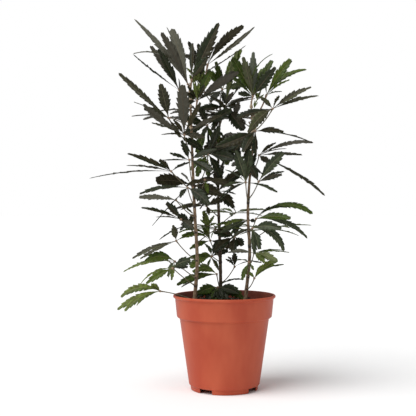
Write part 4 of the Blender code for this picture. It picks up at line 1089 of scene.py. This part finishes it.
# leaflets: long toothed blades with a narrow neck, modelled once for each outline and then bent to place
leafletLook = {
    "columns": (-0.5, -0.27, -0.032, 0.032, 0.27, 0.5), "ribColumns": 0.1, "edgeColumns": 0.4, "ribTo": 0.05,
    "teeth": (5, 7, 9), "longFrom": (0, 62, 92), "outlines": 4,
    "neck": ((0.0, 0.085), (0.05, 0.075), (0.11, 0.10), (0.17, 0.20)), "neckTo": 0.13,
    "club": ((0.17, 0.20), (0.28, 0.46), (0.42, 0.80), (0.56, 1.0), (0.72, 1.0), (0.84, 0.84), (0.92, 0.62),
             (0.955, 0.46)),
    "lance": ((0.17, 0.20), (0.28, 0.62), (0.40, 0.92), (0.50, 1.0), (0.62, 0.92), (0.78, 0.66), (0.90, 0.38),
              (0.955, 0.25)),
    "toothShape": ((0.12, 1.0), (0.55, 0.42), (0.96, 0.0)), "pointFrom": 0.9,
    "toothDepth": 0.24, "depths": (0.6, 1.3), "toothPush": 0.28, "pushes": (0.5, 1.3), "toothSpread": 0.07,
    "tipFrom": 0.955, "tip": ((0.985, 0.5), (1.0, 0.12)),
    "thickness": 0.34, "crown": 0.5, "ribSink": 0.3, "ribWidth": 0.3, "ribLeast": 0.5,
    "ribTaper": (1.1, 0.6), "neckFlat": 2.5, "waves": 1.3,
    "fold": (0.05, 0.34), "twist": 16.0, "pale": (1.22, 1.30, 1.05), "deep": (0.68, 0.62, 0.55),
    "breadth": {"left": 1.0, "middle": 1.1, "right": 1.12},
}
# upper face, its second tint, underside and midrib of each kind of leaf; the two upper tints differ as the
# tone of one leaf from another, and where a leaflet's halves take different ones they are painted light and
# shade across the fold
leafTints = {
    "dark": ((0.014, 0.020, 0.007), (0.027, 0.023, 0.010), (0.070, 0.066, 0.048), (0.060, 0.046, 0.029)),
    "grey": ((0.062, 0.066, 0.034), (0.036, 0.035, 0.018), (0.135, 0.134, 0.100), (0.105, 0.090, 0.058)),
    "blue": ((0.048, 0.060, 0.034), (0.026, 0.036, 0.018), (0.11, 0.125, 0.090), (0.11, 0.11, 0.060)),
    "green": ((0.040, 0.068, 0.007), (0.066, 0.097, 0.011), (0.090, 0.112, 0.036), (0.12, 0.118, 0.042)),
    "olive": ((0.080, 0.112, 0.020), (0.125, 0.158, 0.034), (0.14, 0.165, 0.065), (0.18, 0.18, 0.075)),
}


def leafletRows(teeth, pointed, dice):
    # each row: its place along the leaflet, left half, shifts of the left and right edge, right half
    p = leafletLook
    rows = [(s, w, 0, 0, w) for s, w in p["neck"]]
    places = np.linspace(p["neck"][-1][0], p["tipFrom"], 40)
    club, lance = [np.interp(places, *zip(*p[key])) for key in ("club", "lance")]
    widths = club * (1 - pointed) + lance * pointed
    step = (places[-1] - places[0]) / teeth
    for k in range(teeth):
        depth = [p["toothDepth"] * dice.uniform(*p["depths"]) for edge in (0, 1)]
        for part, share in p["toothShape"]:
            s = places[0] + step * (k + part)
            point = part > p["pointFrom"]
            wide = float(np.interp(s, places, widths))
            left, right = [wide * (1 + p["toothSpread"] * point - d * share) for d in depth]
            push = step * p["toothPush"] if point else 0
            shifts = [push * dice.uniform(*p["pushes"]) for edge in (0, 1)]
            rows.append((s, left, *shifts, right))
    return rows + [(s, w * widths[-1], 0, 0, w * widths[-1]) for s, w in p["tip"]]


def leafletBlank(teeth, variant):
    p = leafletLook
    dice = random.Random(seed * 31 + teeth * 7 + variant)
    rows = leafletRows(teeth, variant / (p["outlines"] - 1), dice)
    columns = p["columns"]
    deselect()
    bpy.ops.mesh.primitive_grid_add(x_subdivisions=len(columns) - 1, y_subdivisions=len(rows) - 1, size=1)
    blank = bpy.context.object
    mesh = startEdit(blank)
    own = mesh.verts.layers.float_vector.new("veins")
    mesh.verts.ensure_lookup_table()
    first, last = p["neck"][-1][0], p["tipFrom"]
    broad, narrowing = p["ribTaper"]
    for r, (s, leftHalf, leftShift, rightShift, rightHalf) in enumerate(rows):
        for c, x in enumerate(columns):
            half, shift = (leftHalf, leftShift) if x < 0 else (rightHalf, rightShift)
            wide, along, lift = max(x * half, -0.5), s, p["crown"]
            if abs(x) < p["ribColumns"]:
                wide = x * max(half, p["ribLeast"]) * (broad - narrowing * s)
                wide = min(max(wide, -half * p["ribWidth"]), half * p["ribWidth"])
                lift = -p["ribSink"]
            elif abs(x) > p["edgeColumns"]:
                along = s + shift
                lift = p["waves"] * dice.uniform(-1, 1) * min(1, half)
            vert = mesh.verts[r * len(columns) + c]
            vert[own] = Vector((2 * x, min(max((s - first) / (last - first), 0), 1) * teeth, s))
            vert.co = Vector((wide, along, lift * min(1, half * p["neckFlat"])))
    bmesh.update_edit_mesh(blank.data)
    bpy.ops.mesh.select_all(action="SELECT")
    bpy.ops.mesh.extrude_region_move(TRANSFORM_OT_translate={"value": (0, 0, -p["thickness"])})
    endEdit()
    blank.name = f"leafletBlank{teeth}_{variant}"
    choose(blank)
    bpy.ops.object.shade_smooth()
    return blank


def paintBlank(blank):
    # material slots: 0 and 3 the halves of the upper face, which can take different tints as painted light
    # and shade across the fold, 1 underside, 2 midrib and neck
    for face in blank.data.polygons:
        x, y, z = face.center
        across = max(abs(blank.data.vertices[i].co.x) for i in face.vertices)
        if across < leafletLook["ribTo"] or y < leafletLook["neckTo"]:
            face.material_index = 2
        elif face.normal.z < 0:
            face.material_index = 1
        else:
            face.material_index = 0 if x < 0 else 3


def leafletPoints(shape, hub, direction, length, normal, width, droop, twist, fold):
    # lays the blank along the arc from hub to tip, folds it up along the midrib and twists it a little
    axis, lift, radius, bend = bladeArc(direction, length, droop)
    x, s, z = shape[:, 0], shape[:, 1], shape[:, 2]
    phi = bend * (s - 0.5)
    along = radius * (np.sin(phi) + math.sin(bend / 2))
    out = radius * (np.cos(phi) - math.cos(bend / 2))
    centres = np.array(hub) + along[:, None] * np.array(direction) + out[:, None] * np.array(lift)
    k = np.array(axis)

    def turned(vector, angles):
        v = np.array(vector)
        c, w = np.cos(angles)[:, None], np.sin(angles)[:, None]
        return v * c + np.cross(k, v) * w + k * (k @ v) * (1 - c)

    runs = turned(direction, -phi)
    ups = turned(normal, -phi)
    sides = np.cross(runs, ups)
    sides /= np.linalg.norm(sides, axis=1, keepdims=True)
    t = np.radians(twist) * s
    sides, ups = (sides * np.cos(t)[:, None] + ups * np.sin(t)[:, None],
                  ups * np.cos(t)[:, None] - sides * np.sin(t)[:, None])
    rise = z + np.abs(x) * width * fold
    return centres + sides * (x * width)[:, None] + ups * rise[:, None]


def leafMaterials(kind):
    upper, second, under, rib = leafTints[kind]
    gloss = dict(bump=0.3, bumpDepth=0.0006, specular=0.2, scale=190.0, detail=4.0, low=0.36, high=0.64,
                 smooth=0.3, rough=0.55)
    dull = dict(gloss, smooth=0.55, rough=0.75)
    vein = tuple((2 * a + b) / 3 for a, b in zip(upper, rib))
    looks = {}
    for face, tint in (("First", upper), ("Second", second)):
        pale, deep = [tuple(c * share for c, share in zip(tint, leafletLook[key]))
                      for key in ("pale", "deep")]
        looks[face] = veined(mottled(f"{kind}Leaf{face}", pale, deep, **gloss), vein)
    shaded = tuple(0.8 * c for c in under)
    looks["Under"] = veined(mottled(f"{kind}LeafUnder", under, shaded, **dull), rib, 0.3)
    looks["Rib"] = mottled(f"{kind}Midrib", rib, tuple(1.35 * c for c in rib), **dull)
    return looks


def buildLeaflets():
    p = leafletLook
    blanks = {}
    for teeth in p["teeth"]:
        for variant in range(p["outlines"]):
            blanks[teeth, variant] = leafletBlank(teeth, variant)
            paintBlank(blanks[teeth, variant])
    looks = {kind: leafMaterials(kind) for kind in leafTints}
    pieces = {kind: [] for kind in leafTints}

    def add(kind, blank, left, right, *place):
        materials = [looks[kind][face] for face in (left, "Under", "Rib", right)]
        points = leafletPoints(coordsOf(blank), *place)
        pieces[kind].append(copyWith(blank, "leaflet", points, materials))

    # a leaf's halves take one tint or both: two different tints paint one half lit and the other shaded
    halves = [(left, right) for left in ("First", "Second") for right in ("First", "Second")]
    for leaf in leaves:
        dice = random.Random(seed + int(leaf["node"]) * 13 + len(leaf["stem"]))
        left, right = dice.choice(halves)
        for direction, length, normal, width, droop, outline, tint in leaf["blades"]:
            teeth = max(t for t, low in zip(p["teeth"], p["longFrom"]) if length >= low)
            drawn = dice.randrange(p["outlines"])
            blank = blanks[teeth, drawn if outline is None else outline]
            twist = dice.uniform(-p["twist"], p["twist"])
            broad = width * p["breadth"][leaf["stem"]]
            add(tint, blank, left, right, leaf["hub"], direction, length, normal, broad, droop, twist,
                dice.uniform(*p["fold"]))
    dice = random.Random(seed + 3)
    blank = blanks[p["teeth"][0], shootLook["outline"]]
    for hub, leaflets in shoots:
        for angle, swing, length, facing, width in leaflets:
            direction = viewDirection(angle, swing)
            add(shootLook["tint"], blank, "First", "Second", hub, direction, length,
                faceNormal(direction, facing), width, shootLook["droop"],
                dice.uniform(-p["twist"], p["twist"]), shootLook["fold"])
    made = [joined(f"{kind}Leaves", pieces[kind], f"leaf_{kind}",
                   *[leaf["cadNode"] for leaf in leaves if leaf["colour"] == kind]) for kind in leafTints]
    for blank in blanks.values():
        bpy.data.objects.remove(blank)
    return made


leafPieces = buildLeaflets()
print("leaflets built,", sum(len(piece.data.polygons) for piece in leafPieces), "faces")
